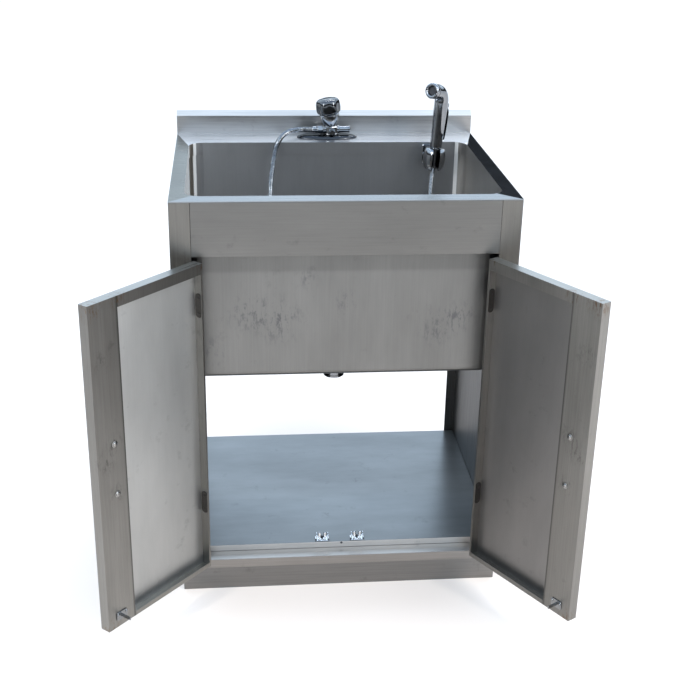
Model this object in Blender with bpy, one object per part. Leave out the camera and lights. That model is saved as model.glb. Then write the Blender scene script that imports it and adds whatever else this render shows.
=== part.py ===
"""Portable handwash sink: a folded stainless cabinet with a deep bowl, two doors, a tap and a hand spray.

Metres, +Z up, +Y to the back. The origin is on the ground, in the middle of the underside of the plinth's
front rail. The doors stand open, the left one further than the right one.
"""

import math

import bmesh
import bpy
from mathutils import Matrix, Vector

GAP = 0.0003
SHEET = 0.0012
TOP_SHEET = 0.0015

# Cabinet
WIDTH = 0.625
HALF = WIDTH / 2
BODY_DEPTH = 0.505
RIM_Z = 0.795
PLINTH_RECESS = 0.0035
PLINTH_FLANGE = 0.021
PLINTH_HALF = HALF - 0.002
FRONT = -(PLINTH_RECESS + PLINTH_FLANGE / 2)
BACK = FRONT + BODY_DEPTH
UNDER_RIM = RIM_Z - TOP_SHEET - GAP
POST_WIDTH = 0.037
POST_RETURN = 0.018
REAR_RETURN = 0.0215
OPENING_HALF = HALF - POST_WIDTH
APRON_BOTTOM = 0.694
RAIL_BOTTOM = 0.0495
LEDGE_Z = 0.0685
SHELF_Z = 0.0817
SHELF_FRONT = FRONT + 0.030
SHELF_BACK = BACK - 0.005

# Top and bowl
DECK_BACK = FRONT + 0.507
SPLASH_RISE = 0.038
SPLASH_RETURN = 0.010
SPLASH_DROP = 0.015
RIM_SIDE = 0.0265
RIM_FRONT = 0.035
DECK_FRONT = FRONT + 0.428
TOP_FLANGE = 0.025
CORNER_RADIUS = 0.028
BOWL_BOTTOM = 0.4462
BOWL_FALL = 0.003
BOWL_EDGE_RADIUS = 0.010
BOWL_MID_Y = (FRONT + RIM_FRONT + DECK_FRONT) / 2
DRAIN_HOLE = 0.0245

# Doors
AXIS_X = OPENING_HALF - 0.002
AXIS_Y = FRONT - 0.005
DOOR_FACE = FRONT - AXIS_Y
DOOR_THICK = 0.020
DOOR_EDGE = 0.002
DOOR_WIDTH = 0.2685
DOOR_FAR = DOOR_EDGE + DOOR_WIDTH
DOOR_INNER = DOOR_FACE + DOOR_THICK
DOOR_BOTTOM = 0.070
DOOR_TOP = 0.691
LIP = 0.004
TOP_LIP = 0.020
BOTTOM_LIP = 0.009
STILE_WIDTH = 0.065
HANDLE_Z = 0.3835
HANDLE_SPAN = 0.096
HANDLE_REACH = 0.030
HANDLE_U = DOOR_FAR - 0.040
SCREW_HOLE = 0.0024
CATCH_X = 0.035
STRIKE_U = AXIS_X - CATCH_X
HINGE_Z = (0.610, 0.2100)
HINGE_TALL = 0.038
KNUCKLE = 0.004
OPEN_LEFT = math.radians(131.5)
OPEN_RIGHT = math.radians(121.5)

# Tap
TAP_Y = FRONT + 0.471
TAP_X = 0.0095
TAP_ARM_Z = RIM_Z + 0.0175
TAP_LEAN = math.radians(-9.0)
PLATE_TALL = 0.0070
TAP_NUT_END = 0.0400

# Hose and spray
HOSE_RADIUS = 0.0055
HOSE_STEP = 0.026
SPRAY_FOOT = Vector((0.2190, FRONT + 0.395, RIM_Z - 0.004))
SPRAY_LEAN = math.radians(4.4)
SPRAY_UP = Vector((math.sin(SPRAY_LEAN), 0.0, math.cos(SPRAY_LEAN)))
SPRAY_AIM = Vector((-0.66, -0.72, 0.20)).normalized()
GRIP_TALL = 0.0925
SPRAY_NUT_END = 0.0420
LUG_X = 0.0170
LUG_Z = GRIP_TALL - 0.006


def clear_scene():
    for obj in list(bpy.data.objects):
        bpy.data.objects.remove(obj, do_unlink=True)


def material(name, colour, metallic, roughness):
    made = bpy.data.materials.new(name)
    made.use_nodes = True
    shader = made.node_tree.nodes["Principled BSDF"]
    shader.inputs["Base Color"].default_value = (*colour, 1.0)
    shader.inputs["Metallic"].default_value = metallic
    shader.inputs["Roughness"].default_value = roughness
    return made


def steel(name):
    return material(name + "_steel", (0.62, 0.63, 0.64), 1.0, 0.32)


def chrome(name):
    return material(name + "_chrome", (0.80, 0.81, 0.83), 1.0, 0.08)


def rubber(name):
    return material(name + "_rubber", (0.03, 0.03, 0.03), 0.0, 0.75)


def place(obj, skin, parent=None, at=(0, 0, 0), turn=(0, 0, 0)):
    """Puts a new object in the scene with its own material."""
    bpy.context.collection.objects.link(obj)
    obj.data.materials.append(skin)
    obj.location = at
    obj.rotation_euler = turn
    obj.parent = parent
    return obj


def mesh_from(name, build):
    """A mesh object whose shape the function build adds to an empty bmesh."""
    bm = bmesh.new()
    build(bm)
    bmesh.ops.recalc_face_normals(bm, faces=bm.faces)
    data = bpy.data.meshes.new(name)
    bm.to_mesh(data)
    bm.free()
    return bpy.data.objects.new(name, data)


def round_off(obj):
    """Smooth shading on the round parts, with the real edges kept sharp."""
    obj.data.shade_smooth()
    obj.data.set_sharp_from_angle(angle=math.radians(35))
    return obj


def box(name, low, high):
    def build(bm):
        size = [b - a for a, b in zip(low, high)]
        middle = [(a + b) / 2 for a, b in zip(low, high)]
        grow = Matrix.Translation(middle) @ Matrix.Diagonal((*size, 1.0))
        bmesh.ops.create_cube(bm, size=1.0, matrix=grow)

    return mesh_from(name, build)


def prism(name, outline, low, high, along, ends=None):
    """A flat outline drawn out along X, Y or Z. The function ends may shift each end by its outline point."""
    order = {"X": (2, 0, 1), "Y": (0, 2, 1), "Z": (0, 1, 2)}[along]

    def point(a, b, c):
        flat = (a, b, c)
        return Vector([flat[i] for i in order])

    def build(bm):
        rings = []
        for distance, side in ((low, 1), (high, -1)):
            ring = []
            for a, b in outline:
                shift = side * ends(a, b) if ends else 0.0
                ring.append(bm.verts.new(point(a, b, distance + shift)))
            rings.append(ring)
        first, last = rings
        bm.faces.new(first)
        bm.faces.new(last)
        for i in range(len(outline)):
            j = (i + 1) % len(outline)
            bm.faces.new((first[i], first[j], last[j], last[i]))

    return mesh_from(name, build)


def fold(path, thickness, side):
    """The outline of a sheet bent along a path: side 1 thickens it to the left of the path, -1 to the right."""
    points = [Vector(p) for p in path]
    count = len(points)
    inner = []
    for i in range(count):
        before = (points[i] - points[i - 1]).normalized() if i > 0 else None
        after = (points[i + 1] - points[i]).normalized() if i < count - 1 else None
        before = before or after
        after = after or before
        left_a = Vector((-before.y, before.x))
        left_b = Vector((-after.y, after.x))
        mitre = (left_a + left_b).normalized()
        inner.append(points[i] + mitre * side * thickness / mitre.dot(left_a))
    return [tuple(p) for p in points] + [tuple(p) for p in reversed(inner)]


def loft(name, rings, loop=False):
    """A closed skin through rings of points. With loop it joins the last ring to the first, else it caps both."""

    def build(bm):
        made = [[bm.verts.new(p) for p in ring] for ring in rings]
        pairs = list(zip(made, made[1:]))
        if loop:
            pairs.append((made[-1], made[0]))
        else:
            bm.faces.new(made[0])
            bm.faces.new(made[-1])
        for one, two in pairs:
            for i in range(len(one)):
                j = (i + 1) % len(one)
                bm.faces.new((one[i], one[j], two[j], two[i]))

    return mesh_from(name, build)


def circle(radius, count, height=0.0, flute=0.0, lobes=6):
    """Points of a ring about Z. A flute depth scoops hollows between the lobes."""
    points = []
    for i in range(count):
        angle = 2 * math.pi * i / count
        scoop = flute * (0.5 - 0.5 * math.cos(lobes * angle)) ** 2
        reach = radius - scoop
        points.append((reach * math.cos(angle), reach * math.sin(angle), height))
    return points


def hexagon(apothem, height, largest=1.0):
    """Points of a hexagon ring about Z, with its corners turned down to the largest radius."""
    points = []
    for i in range(36):
        angle = 2 * math.pi * i / 36
        corner = (angle + math.pi / 6) % (math.pi / 3) - math.pi / 6
        reach = min(apothem / math.cos(corner), largest)
        points.append((reach * math.cos(angle), reach * math.sin(angle), height))
    return points


def turned(name, profile, count=32, loop=False):
    """A round solid about Z from (radius, height) points. With loop the profile is a closed ring section."""
    rings = [circle(radius, count, height) for radius, height in profile]
    return round_off(loft(name, rings, loop))


def rounded_rectangle(half_x, low_y, high_y, radius, height, inset=0.0, steps=6):
    """Points of a rounded rectangle at one height, anticlockwise from the corner at +X +Y."""
    near = radius - inset
    corners = (
        (half_x - radius, high_y - radius, 0),
        (radius - half_x, high_y - radius, 90),
        (radius - half_x, low_y + radius, 180),
        (half_x - radius, low_y + radius, 270),
    )
    points = []
    for x, y, start in corners:
        for i in range(steps + 1):
            angle = math.radians(start + 90 * i / steps)
            points.append((x + near * math.cos(angle), y + near * math.sin(angle), height))
    return points


def frames_along(points):
    """A pair of cross directions at each point of a path, carried along it with no twist."""
    tangents = []
    for i in range(len(points)):
        low = points[max(i - 1, 0)]
        high = points[min(i + 1, len(points) - 1)]
        tangents.append((high - low).normalized())
    side = tangents[0].orthogonal().normalized()
    frames = []
    for tangent in tangents:
        side = (side - tangent * side.dot(tangent)).normalized()
        frames.append((side, tangent.cross(side)))
    return frames


def swept(name, points, radii, count=20):
    """A solid round bar along a path, with a radius at each point."""
    points = [Vector(p) for p in points]
    rings = []
    for point, radius, (side, other) in zip(points, radii, frames_along(points)):
        ring = []
        for i in range(count):
            angle = 2 * math.pi * i / count
            ring.append(point + (side * math.cos(angle) + other * math.sin(angle)) * radius)
        rings.append(ring)
    return round_off(loft(name, rings))


def smooth_path(corners, step):
    """Even points along a smooth curve through the given points."""
    corners = [Vector(c) for c in corners]
    ends = [2 * corners[0] - corners[1], *corners, 2 * corners[-1] - corners[-2]]
    fine = []
    for a, b, c, d in zip(ends, ends[1:], ends[2:], ends[3:]):
        for i in range(24):
            t = i / 24
            square, cube = t * t, t * t * t
            fine.append(
                (2 * b + (c - a) * t + (2 * a - 5 * b + 4 * c - d) * square
                 + (3 * b - a - 3 * c + d) * cube) / 2
            )
    fine.append(corners[-1])
    length = sum((q - p).length for p, q in zip(fine, fine[1:]))
    spacing = length / round(length / step)
    even = [fine[0]]
    walked = 0.0
    for p, q in zip(fine, fine[1:]):
        stretch = (q - p).length
        while walked + stretch >= spacing * len(even) - 1e-9 and stretch > 0:
            even.append(p.lerp(q, (spacing * len(even) - walked) / stretch))
        walked += stretch
    even[-1] = fine[-1]
    return even


def boolean(target, tool, operation):
    """Adds one exact Boolean to the target and hides the tool from the render."""
    bpy.context.collection.objects.link(tool)
    tool.hide_render = True
    tool.display_type = "WIRE"
    modifier = target.modifiers.new(operation.title() + "_" + tool.name, "BOOLEAN")
    modifier.operation = operation
    modifier.solver = "EXACT"
    modifier.object = tool
    return tool


def cut(target, tool, parent=None, at=(0, 0, 0), turn=(0, 0, 0)):
    boolean(target, tool, "DIFFERENCE")
    tool.parent = parent
    tool.location = at
    tool.rotation_euler = turn


def join(target, tool, parent=None, at=(0, 0, 0), turn=(0, 0, 0)):
    boolean(target, tool, "UNION")
    tool.parent = parent
    tool.location = at
    tool.rotation_euler = turn


def axis_empty(name, at, turn=(0, 0, 0), parent=None):
    empty = bpy.data.objects.new(name, None)
    bpy.context.collection.objects.link(empty)
    empty.location = at
    empty.rotation_euler = turn
    empty.parent = parent
    return empty


def aim(direction):
    """Euler angles that turn +Z to a direction."""
    return direction.to_track_quat("Z", "Y").to_euler()


def sink_top():
    path = [
        (FRONT, RIM_Z),
        (DECK_BACK, RIM_Z),
        (DECK_BACK, RIM_Z + SPLASH_RISE),
        (DECK_BACK + SPLASH_RETURN, RIM_Z + SPLASH_RISE + SPLASH_RETURN),
        (DECK_BACK + SPLASH_RETURN, RIM_Z + SPLASH_RISE + SPLASH_RETURN - SPLASH_DROP),
    ]
    top = prism("sink_top", fold(path, TOP_SHEET, -1), -HALF, HALF, "X")
    half = HALF - RIM_SIDE
    low, high = FRONT + RIM_FRONT, DECK_FRONT
    ring = [
        rounded_rectangle(half, low, high, CORNER_RADIUS, z, -TOP_SHEET)
        for z in (RIM_Z - TOP_FLANGE, RIM_Z - TOP_SHEET / 2)
    ]
    join(top, loft("top_flange_tool", ring))
    hole = [
        rounded_rectangle(half, low, high, CORNER_RADIUS, z)
        for z in (RIM_Z - 2 * TOP_FLANGE, RIM_Z + 0.01)
    ]
    cut(top, loft("top_opening_tool", hole))
    shank_hole = turned("top_shank_tool", [(0.0106, RIM_Z - 0.02), (0.0106, RIM_Z + 0.02)])
    cut(top, shank_hole, at=(TAP_X, TAP_Y, 0))
    place(top, steel("sink_top"))


def sink_bowl():
    half = HALF - RIM_SIDE + TOP_SHEET + GAP
    low = FRONT + RIM_FRONT - TOP_SHEET - GAP
    high = DECK_FRONT + TOP_SHEET + GAP
    radius = CORNER_RADIUS + TOP_SHEET + GAP

    def wall(offset, bottom):
        rings = [rounded_rectangle(half, low, high, radius, UNDER_RIM, -offset)]
        curve = BOWL_EDGE_RADIUS + offset
        for i in range(5):
            angle = math.pi / 2 * i / 4
            inset = curve * (1 - math.cos(angle)) - offset
            height = bottom + curve * (1 - math.sin(angle))
            rings.append(rounded_rectangle(half, low, high, radius, height, inset))
        return rings

    outside = wall(SHEET, BOWL_BOTTOM)
    inside = wall(0.0, BOWL_BOTTOM + SHEET)
    count = len(inside[0])
    edge = [
        [(x, y + BOWL_MID_Y, z) for x, y, z in circle(DRAIN_HOLE, count, height)]
        for height in (BOWL_BOTTOM - BOWL_FALL, BOWL_BOTTOM - BOWL_FALL + SHEET)
    ]
    rings = outside + edge + list(reversed(inside))
    place(round_off(loft("sink_bowl", rings, loop=True)), steel("sink_bowl"))


def front_apron():
    path = [
        (FRONT + POST_RETURN, UNDER_RIM),
        (FRONT, UNDER_RIM),
        (FRONT, APRON_BOTTOM),
        (FRONT + POST_RETURN, APRON_BOTTOM),
    ]
    reach = OPENING_HALF - GAP
    place(prism("front_apron", fold(path, SHEET, 1), -reach, reach, "X"), steel("front_apron"))


def side_panel(name, side):
    path = [
        (side * OPENING_HALF, FRONT + POST_RETURN),
        (side * OPENING_HALF, FRONT),
        (side * HALF, FRONT),
        (side * HALF, BACK),
        (side * (HALF - REAR_RETURN), BACK),
    ]
    panel = prism(name, fold(path, SHEET, side), RAIL_BOTTOM, UNDER_RIM, "Z")
    edges = sorted((side * (HALF - SHEET), side * (OPENING_HALF - 0.01)))
    notch = box(
        name + "_notch_tool",
        (edges[0], FRONT - 0.01, RAIL_BOTTOM - 0.01),
        (edges[1], SHELF_FRONT, LEDGE_Z + GAP),
    )
    cut(panel, notch)
    place(panel, steel(name))


def base_rails():
    reach = HALF - SHEET - GAP
    front = [
        (FRONT + 0.050, LEDGE_Z),
        (FRONT, LEDGE_Z),
        (FRONT, RAIL_BOTTOM),
        (FRONT + 0.020, RAIL_BOTTOM),
    ]
    rear_y = BACK - SHEET - GAP
    rear = [
        (rear_y - 0.040, LEDGE_Z),
        (rear_y, LEDGE_Z),
        (rear_y, RAIL_BOTTOM),
        (rear_y - 0.020, RAIL_BOTTOM),
    ]
    for name, path, side in (("base_front_rail", front, 1), ("base_rear_rail", rear, -1)):
        place(prism(name, fold(path, SHEET, side), -reach, reach, "X"), steel(name))


def bottom_shelf():
    path = [
        (SHELF_FRONT, LEDGE_Z + GAP),
        (SHELF_FRONT, SHELF_Z),
        (SHELF_BACK, SHELF_Z),
        (SHELF_BACK, LEDGE_Z + GAP),
    ]
    reach = HALF - SHEET - GAP
    place(prism("bottom_shelf", fold(path, SHEET, -1), -reach, reach, "X"), steel("bottom_shelf"))


def plinth():
    top = RAIL_BOTTOM - GAP
    section = fold([(PLINTH_FLANGE, top), (0, top), (0, 0), (PLINTH_FLANGE, 0)], SHEET, 1)
    low = FRONT + PLINTH_RECESS
    high = BACK - PLINTH_RECESS
    middle = (low + high) / 2
    turns = (
        ("plinth_front", PLINTH_HALF, (0, low, 0), 0),
        ("plinth_back", PLINTH_HALF, (0, high, 0), 180),
        ("plinth_left", (high - low) / 2, (-PLINTH_HALF, middle, 0), -90),
        ("plinth_right", (high - low) / 2, (PLINTH_HALF, middle, 0), 90),
    )
    for name, reach, spot, degrees in turns:
        rail = prism(name, section, -reach, reach, "X", ends=lambda depth, _: depth + GAP)
        place(rail, steel(name), at=spot, turn=(0, 0, math.radians(degrees)))


def rear_top_rail():
    drop = 0.040
    path = [
        (BACK - 0.014, UNDER_RIM),
        (BACK, UNDER_RIM),
        (BACK, UNDER_RIM - drop),
        (BACK - 0.014, UNDER_RIM - drop),
    ]
    reach = HALF - REAR_RETURN - GAP
    place(prism("rear_top_rail", fold(path, SHEET, -1), -reach, reach, "X"), steel("rear_top_rail"))


def drain():
    spot = (0, BOWL_MID_Y, 0)
    under = BOWL_BOTTOM - BOWL_FALL
    seat = under + SHEET + 0.0006
    sleeve_end = under - 0.045
    flange = [
        (0.0215, seat + 0.0015),
        (0.0400, seat + 0.0005),
        (0.0400, seat),
        (0.0240, seat),
        (0.0240, sleeve_end),
        (0.0215, sleeve_end),
    ]
    gasket_low = under - GAP - 0.003
    gasket = [
        (0.0380, under - GAP),
        (0.0380, gasket_low),
        (0.0247, gasket_low),
        (0.0247, under - GAP),
    ]
    slip_top = sleeve_end + 0.012
    slip_low = sleeve_end - 0.0063
    slip_nut = [
        (0.0300, slip_top),
        (0.0310, slip_top - 0.002),
        (0.0310, slip_low + 0.002),
        (0.0300, slip_low),
        (0.0209, slip_low),
        (0.0209, slip_low + 0.003),
        (0.0243, slip_low + 0.003),
        (0.0243, slip_top),
    ]
    tail_end = sleeve_end - 0.040
    tail = [
        (0.0238, sleeve_end - GAP),
        (0.0238, sleeve_end - 0.003),
        (0.0205, sleeve_end - 0.003),
        (0.0205, tail_end + 0.005),
        (0.0215, tail_end + 0.004),
        (0.0215, tail_end + 0.001),
        (0.0205, tail_end),
        (0.0185, tail_end),
        (0.0185, sleeve_end - GAP),
    ]
    rim = seat + 0.0015 + GAP
    basket = [
        (0.0002, rim - 0.012),
        (0.0205, rim - 0.012),
        (0.0205, rim),
        (0.0300, rim),
        (0.0295, rim + 0.001),
        (0.0195, rim + 0.001),
        (0.0190, rim - 0.011),
        (0.0030, rim - 0.011),
        (0.0030, rim + 0.001),
        (0.0065, rim + 0.003),
        (0.0065, rim + 0.006),
        (0.0002, rim + 0.007),
    ]
    place(turned("drain_flange", flange, loop=True), chrome("drain_flange"), at=spot)
    place(turned("drain_gasket", gasket, loop=True), rubber("drain_gasket"), at=spot)
    place(turned("drain_slip_nut", slip_nut, loop=True), chrome("drain_slip_nut"), at=spot)
    place(turned("drain_tailpiece", tail, loop=True), chrome("drain_tailpiece"), at=spot)
    place(turned("drain_basket", basket), chrome("drain_basket"), at=spot)
    nut_high = gasket_low - GAP
    nut_rings = [
        circle(radius, count=48, height=height, flute=flute, lobes=8)
        for radius, height, flute in (
            (0.0360, nut_high, 0.003),
            (0.0360, nut_high - 0.010, 0.003),
            (0.0243, nut_high - 0.010, 0.0),
            (0.0243, nut_high, 0.0),
        )
    ]
    locknut = loft("drain_locknut", nut_rings, loop=True)
    place(round_off(locknut), chrome("drain_locknut"), at=spot)


def door_box(name, side, low, high):
    """A box in a door's own frame, measured outwards from the hinge axis."""
    edges = sorted((-side * low[0], -side * high[0]))
    return box(name, (edges[0], low[1], low[2]), (edges[1], high[1], high[2]))


def handle_holes(target, name, side, axis, low, high):
    """Cuts the two handle screw holes between two depths of the door."""
    for word, level in (("low", -1), ("high", 1)):
        hole = turned(f"{name}_{word}_hole_tool", [(SCREW_HOLE, -high), (SCREW_HOLE, -low)], 24)
        spot = (-side * HANDLE_U, 0, HANDLE_Z + level * HANDLE_SPAN / 2)
        cut(target, hole, parent=axis, at=spot, turn=(math.pi / 2, 0, 0))


def door_tray(name, side, axis):
    """The door's skin with its edges folded in. The free edge is folded to a wide stile."""
    tray = door_box(
        name, side, (DOOR_EDGE, DOOR_FACE, DOOR_BOTTOM), (DOOR_FAR, DOOR_INNER, DOOR_TOP)
    )
    window = door_box(
        name + "_window_tool",
        side,
        (DOOR_EDGE + LIP, DOOR_INNER - 3 * SHEET, DOOR_BOTTOM + BOTTOM_LIP),
        (DOOR_FAR - STILE_WIDTH, DOOR_INNER + 0.01, DOOR_TOP - TOP_LIP),
    )
    cut(tray, window, parent=axis)
    pocket = door_box(
        name + "_pocket_tool",
        side,
        (DOOR_EDGE + SHEET, DOOR_FACE + SHEET, DOOR_BOTTOM + SHEET),
        (DOOR_FAR - SHEET, DOOR_INNER - SHEET, DOOR_TOP - SHEET),
    )
    cut(tray, pocket, parent=axis)
    handle_holes(tray, name, side, axis, DOOR_FACE - 0.005, DOOR_INNER + 0.005)
    place(tray, steel(name), parent=axis)


def door_handle(name, side, axis):
    """A bow of round bar on the outer face, drilled for its two screws."""
    x = -side * HANDLE_U
    foot = DOOR_FACE - GAP
    bend = 0.010
    points = []
    for level in (-1, 1):
        z = HANDLE_Z + level * HANDLE_SPAN / 2
        leg = [(x, foot, z), (x, foot - HANDLE_REACH + bend, z)]
        for i in range(1, 6):
            angle = math.pi / 2 * i / 5
            leg.append(
                (
                    x,
                    foot - HANDLE_REACH + bend * (1 - math.sin(angle)),
                    z - level * bend * (1 - math.cos(angle)),
                )
            )
        points += leg if level < 0 else list(reversed(leg))
    handle = swept(name, points, [0.0048] * len(points), 16)
    handle_holes(handle, name, side, axis, foot - 0.0085, foot + 0.005)
    place(handle, chrome(name), parent=axis)


def handle_screws(prefix, side, axis):
    """Pan-head screws from inside the door, through stile and skin into the handle's feet."""
    seat = DOOR_INNER + GAP
    tip = seat - (DOOR_FACE - 0.007)
    profile = [
        (0.0002, -tip),
        (0.0021, -tip),
        (0.0021, 0.0),
        (0.0045, 0.0),
        (0.0045, 0.0012),
        (0.0036, 0.0024),
        (0.0002, 0.0030),
    ]
    for word, level in (("low", -1), ("high", 1)):
        name = f"{prefix}_handle_screw_{word}"
        spot = (-side * HANDLE_U, seat, HANDLE_Z + level * HANDLE_SPAN / 2)
        screw = turned(name, profile, 16)
        place(screw, chrome(name), parent=axis, at=spot, turn=(-math.pi / 2, 0, 0))


def door_strike(name, side, axis):
    """A small plate on the stile with a tongue that runs in between the catch's rollers."""
    face = DOOR_INNER + GAP
    tongue_low = SHELF_Z + 0.006
    strike = door_box(
        name,
        side,
        (STRIKE_U - 0.013, face, tongue_low - 0.004),
        (STRIKE_U + 0.013, face + 0.0015, tongue_low + 0.012),
    )
    tongue = door_box(
        name + "_tongue_tool",
        side,
        (STRIKE_U - 0.0011, face + 0.0005, tongue_low),
        (STRIKE_U + 0.0011, face + 0.0215, tongue_low + 0.006),
    )
    join(strike, tongue, parent=axis)
    place(strike, chrome(name), parent=axis)


def hinge_leaf(name, side, turn, knuckles, low, high):
    """A hinge leaf about the pin's axis, with its knuckles. Turn is 1 on the frame's side, -1 on the door's."""
    edges = sorted((side * turn * 0.0005, side * turn * 0.0017))
    leaf = box(name, (edges[0], DOOR_FACE - 0.0005, low), (edges[1], 0.0225, high))
    tools = []
    for word, (start, end) in knuckles.items():
        tools.append(turned(f"{name}_{word}_knuckle_tool", [(KNUCKLE, start), (KNUCKLE, end)], 16))
        web = (edges[0], 0.001, start), (edges[1], DOOR_FACE + 0.001, end)
        tools.append(box(f"{name}_{word}_web_tool", *web))
    return leaf, tools


def hinge(prefix, side, axis, middle_z):
    """A butt hinge in the gap beside the door. Its pin is fixed in the frame leaf's two end knuckles."""
    third = HINGE_TALL / 3
    low, high = middle_z - HINGE_TALL / 2, middle_z + HINGE_TALL / 2
    at = (side * AXIS_X, AXIS_Y, 0)
    name = prefix + "_frame_leaf"
    ends = {"low": (low, low + third - GAP), "high": (high - third + GAP, high)}
    frame, tools = hinge_leaf(name, side, 1, ends, low, high)
    tools.append(turned(name + "_pin_tool", [(0.0015, low + 0.002), (0.0015, high - 0.002)], 12))
    for tool in tools:
        join(frame, tool, at=at)
    place(frame, steel(name), at=at)

    name = prefix + "_door_leaf"
    middle = {"middle": (low + third, high - third)}
    leaf, tools = hinge_leaf(name, side, -1, middle, low, high)
    for tool in tools:
        join(leaf, tool, parent=axis)
    bore = turned(name + "_bore_tool", [(0.0019, low - 0.01), (0.0019, high + 0.01)], 12)
    cut(leaf, bore, parent=axis)
    place(leaf, steel(name), parent=axis)


def door(word, side, opening):
    axis = axis_empty(word + "_door_axis", (side * AXIS_X, AXIS_Y, 0), (0, 0, side * opening))
    door_tray(word + "_door_tray", side, axis)
    door_handle(word + "_door_handle", side, axis)
    handle_screws(word, side, axis)
    door_strike(word + "_door_strike", side, axis)
    for level, middle_z in zip(("upper", "lower"), HINGE_Z):
        hinge(f"{word}_{level}_hinge", side, axis, middle_z)


def catch(word, side):
    """A roller catch on the shelf: a plate with two cheeks, and a sprung roller inside each cheek."""
    x = side * CATCH_X
    low = SHELF_Z + GAP
    y = SHELF_FRONT + 0.010
    top = low + 0.0015
    name = word + "_catch_body"
    body = box(name, (x - 0.0140, y - 0.008, low), (x + 0.0140, y + 0.010, top))
    for turn, mark in ((-1, "left"), (1, "right")):
        edges = sorted((x + turn * 0.0105, x + turn * 0.0120))
        cheek = box(
            f"{name}_{mark}_cheek_tool",
            (edges[0], y - 0.006, low + 0.001),
            (edges[1], y + 0.008, low + 0.0175),
        )
        join(body, cheek)
    place(body, chrome(name))
    profile = [
        (0.0015, top + GAP),
        (0.0015, top + 0.0030),
        (0.0024, top + 0.0032),
        (0.0030, top + 0.0042),
        (0.0030, top + 0.0137),
        (0.0024, top + 0.0147),
    ]
    for turn, mark in ((-1, "left"), (1, "right")):
        name = f"{word}_catch_{mark}_roller"
        place(turned(name, profile, 16), chrome(name), at=(x + turn * 0.0056, y, 0))


def tap_base_plate():
    """An oval domed plate on the deck, with a hole for the tap's shank."""
    low = RIM_Z + GAP
    steps = ((1.0, 0.0), (1.0, 0.0018), (0.93, 0.0045), (0.80, 0.0062), (0.62, PLATE_TALL))
    rings = []
    for spread, height in steps:
        oval = circle(spread, 40)
        rings.append([(0.063 * x, 0.0225 * y, low + height) for x, y, _ in oval])
    for height in (PLATE_TALL, 0.0):
        bore = circle(0.0103, 40)
        rings.append([(TAP_X + x, y, low + height) for x, y, _ in bore])
    plate = loft("tap_base_plate", rings, loop=True)
    place(round_off(plate), chrome("tap_base_plate"), at=(0, TAP_Y, 0))


def tap_body():
    """The cast body with its shank, two arms, front boss, and the leaning bonnet with the spindle."""
    base = RIM_Z + PLATE_TALL + 2 * GAP
    profile = [(0.0135, base), (0.0150, base + 0.002), (0.0150, base + 0.016), (0.0120, base + 0.019)]
    body = turned("tap_body", profile, 8)
    arm_z = TAP_ARM_Z
    tools = (
        ("shank", [(0.0100, RIM_Z - 0.032), (0.0100, base + 0.004)], 0, (0, 0, 0)),
        ("left_arm", [(0.0075, 0.006), (0.0075, 0.0185)], arm_z, (0, -math.pi / 2, 0)),
        (
            "right_arm",
            [(0.0064, 0.006), (0.0064, 0.0370), (0.0050, 0.0395)],
            arm_z,
            (0, math.pi / 2, 0),
        ),
        (
            "boss",
            [(0.0062, 0.006), (0.0062, 0.0200), (0.0045, 0.0215)],
            arm_z - 0.003,
            (math.pi / 2, 0, 0),
        ),
        (
            "bonnet",
            [
                (0.0135, 0.002),
                (0.0135, 0.0120),
                (0.0150, 0.0150),
                (0.0205, 0.0265),
                (0.0205, 0.0284),
                (0.0040, 0.0290),
                (0.0040, 0.0390),
            ],
            arm_z,
            (0, TAP_LEAN, 0),
        ),
    )
    for word, shape, height, turn in tools:
        tool = turned(f"tap_{word}_tool", shape, 32)
        join(body, tool, at=(TAP_X, TAP_Y, height), turn=turn)
    place(body, chrome("tap_body"), at=(TAP_X, TAP_Y, 0))


def tap_nuts():
    """The backnut under the deck and the hose nut on the left arm."""
    high = RIM_Z - TOP_SHEET - GAP
    low = high - 0.008
    bore = [circle(0.0104, 36, height) for height in (low, high)]
    rings = [hexagon(0.0140, high), hexagon(0.0140, low), *bore]
    place(loft("tap_backnut", rings, loop=True), chrome("tap_backnut"), at=(TAP_X, TAP_Y, 0))

    rings = [
        hexagon(0.0078, 0.0188, 0.0080),
        hexagon(0.0078, 0.0198, 0.0090),
        hexagon(0.0078, 0.0292, 0.0090),
        hexagon(0.0078, 0.0302, 0.0080),
        circle(0.0068, 36, 0.0306),
        circle(0.0062, 36, TAP_NUT_END),
    ]
    spot = (TAP_X, TAP_Y, TAP_ARM_Z)
    nut = round_off(loft("tap_hose_nut", rings))
    place(nut, chrome("tap_hose_nut"), at=spot, turn=(0, -math.pi / 2, 0))


def tap_knob():
    """The fluted knob, hollowed for the spindle. It turns on the leaning spindle."""
    low = 0.0300
    rings = [
        circle(0.0043, 60, low + 0.0100),
        circle(0.0043, 60, low),
        circle(0.0205, 60, low, 0.0008),
        circle(0.0238, 60, low + 0.0030, 0.0020),
        circle(0.0252, 60, low + 0.0100, 0.0032),
        circle(0.0255, 60, low + 0.0240, 0.0032),
        circle(0.0245, 60, low + 0.0305, 0.0028),
        circle(0.0215, 60, low + 0.0345, 0.0018),
        circle(0.0150, 60, low + 0.0370, 0.0),
    ]
    axis = axis_empty("tap_knob_axis", (TAP_X, TAP_Y, TAP_ARM_Z), (0, TAP_LEAN, 0))
    place(round_off(loft("tap_knob", rings)), chrome("tap_knob"), parent=axis)


def spray_turn():
    """Rotation at the spray's foot: Z runs up the grip, X points to the trigger, away from the nozzle."""
    across = SPRAY_UP.cross(-SPRAY_AIM).normalized()
    back = across.cross(SPRAY_UP)
    return Matrix((back, across, SPRAY_UP)).transposed()


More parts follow.
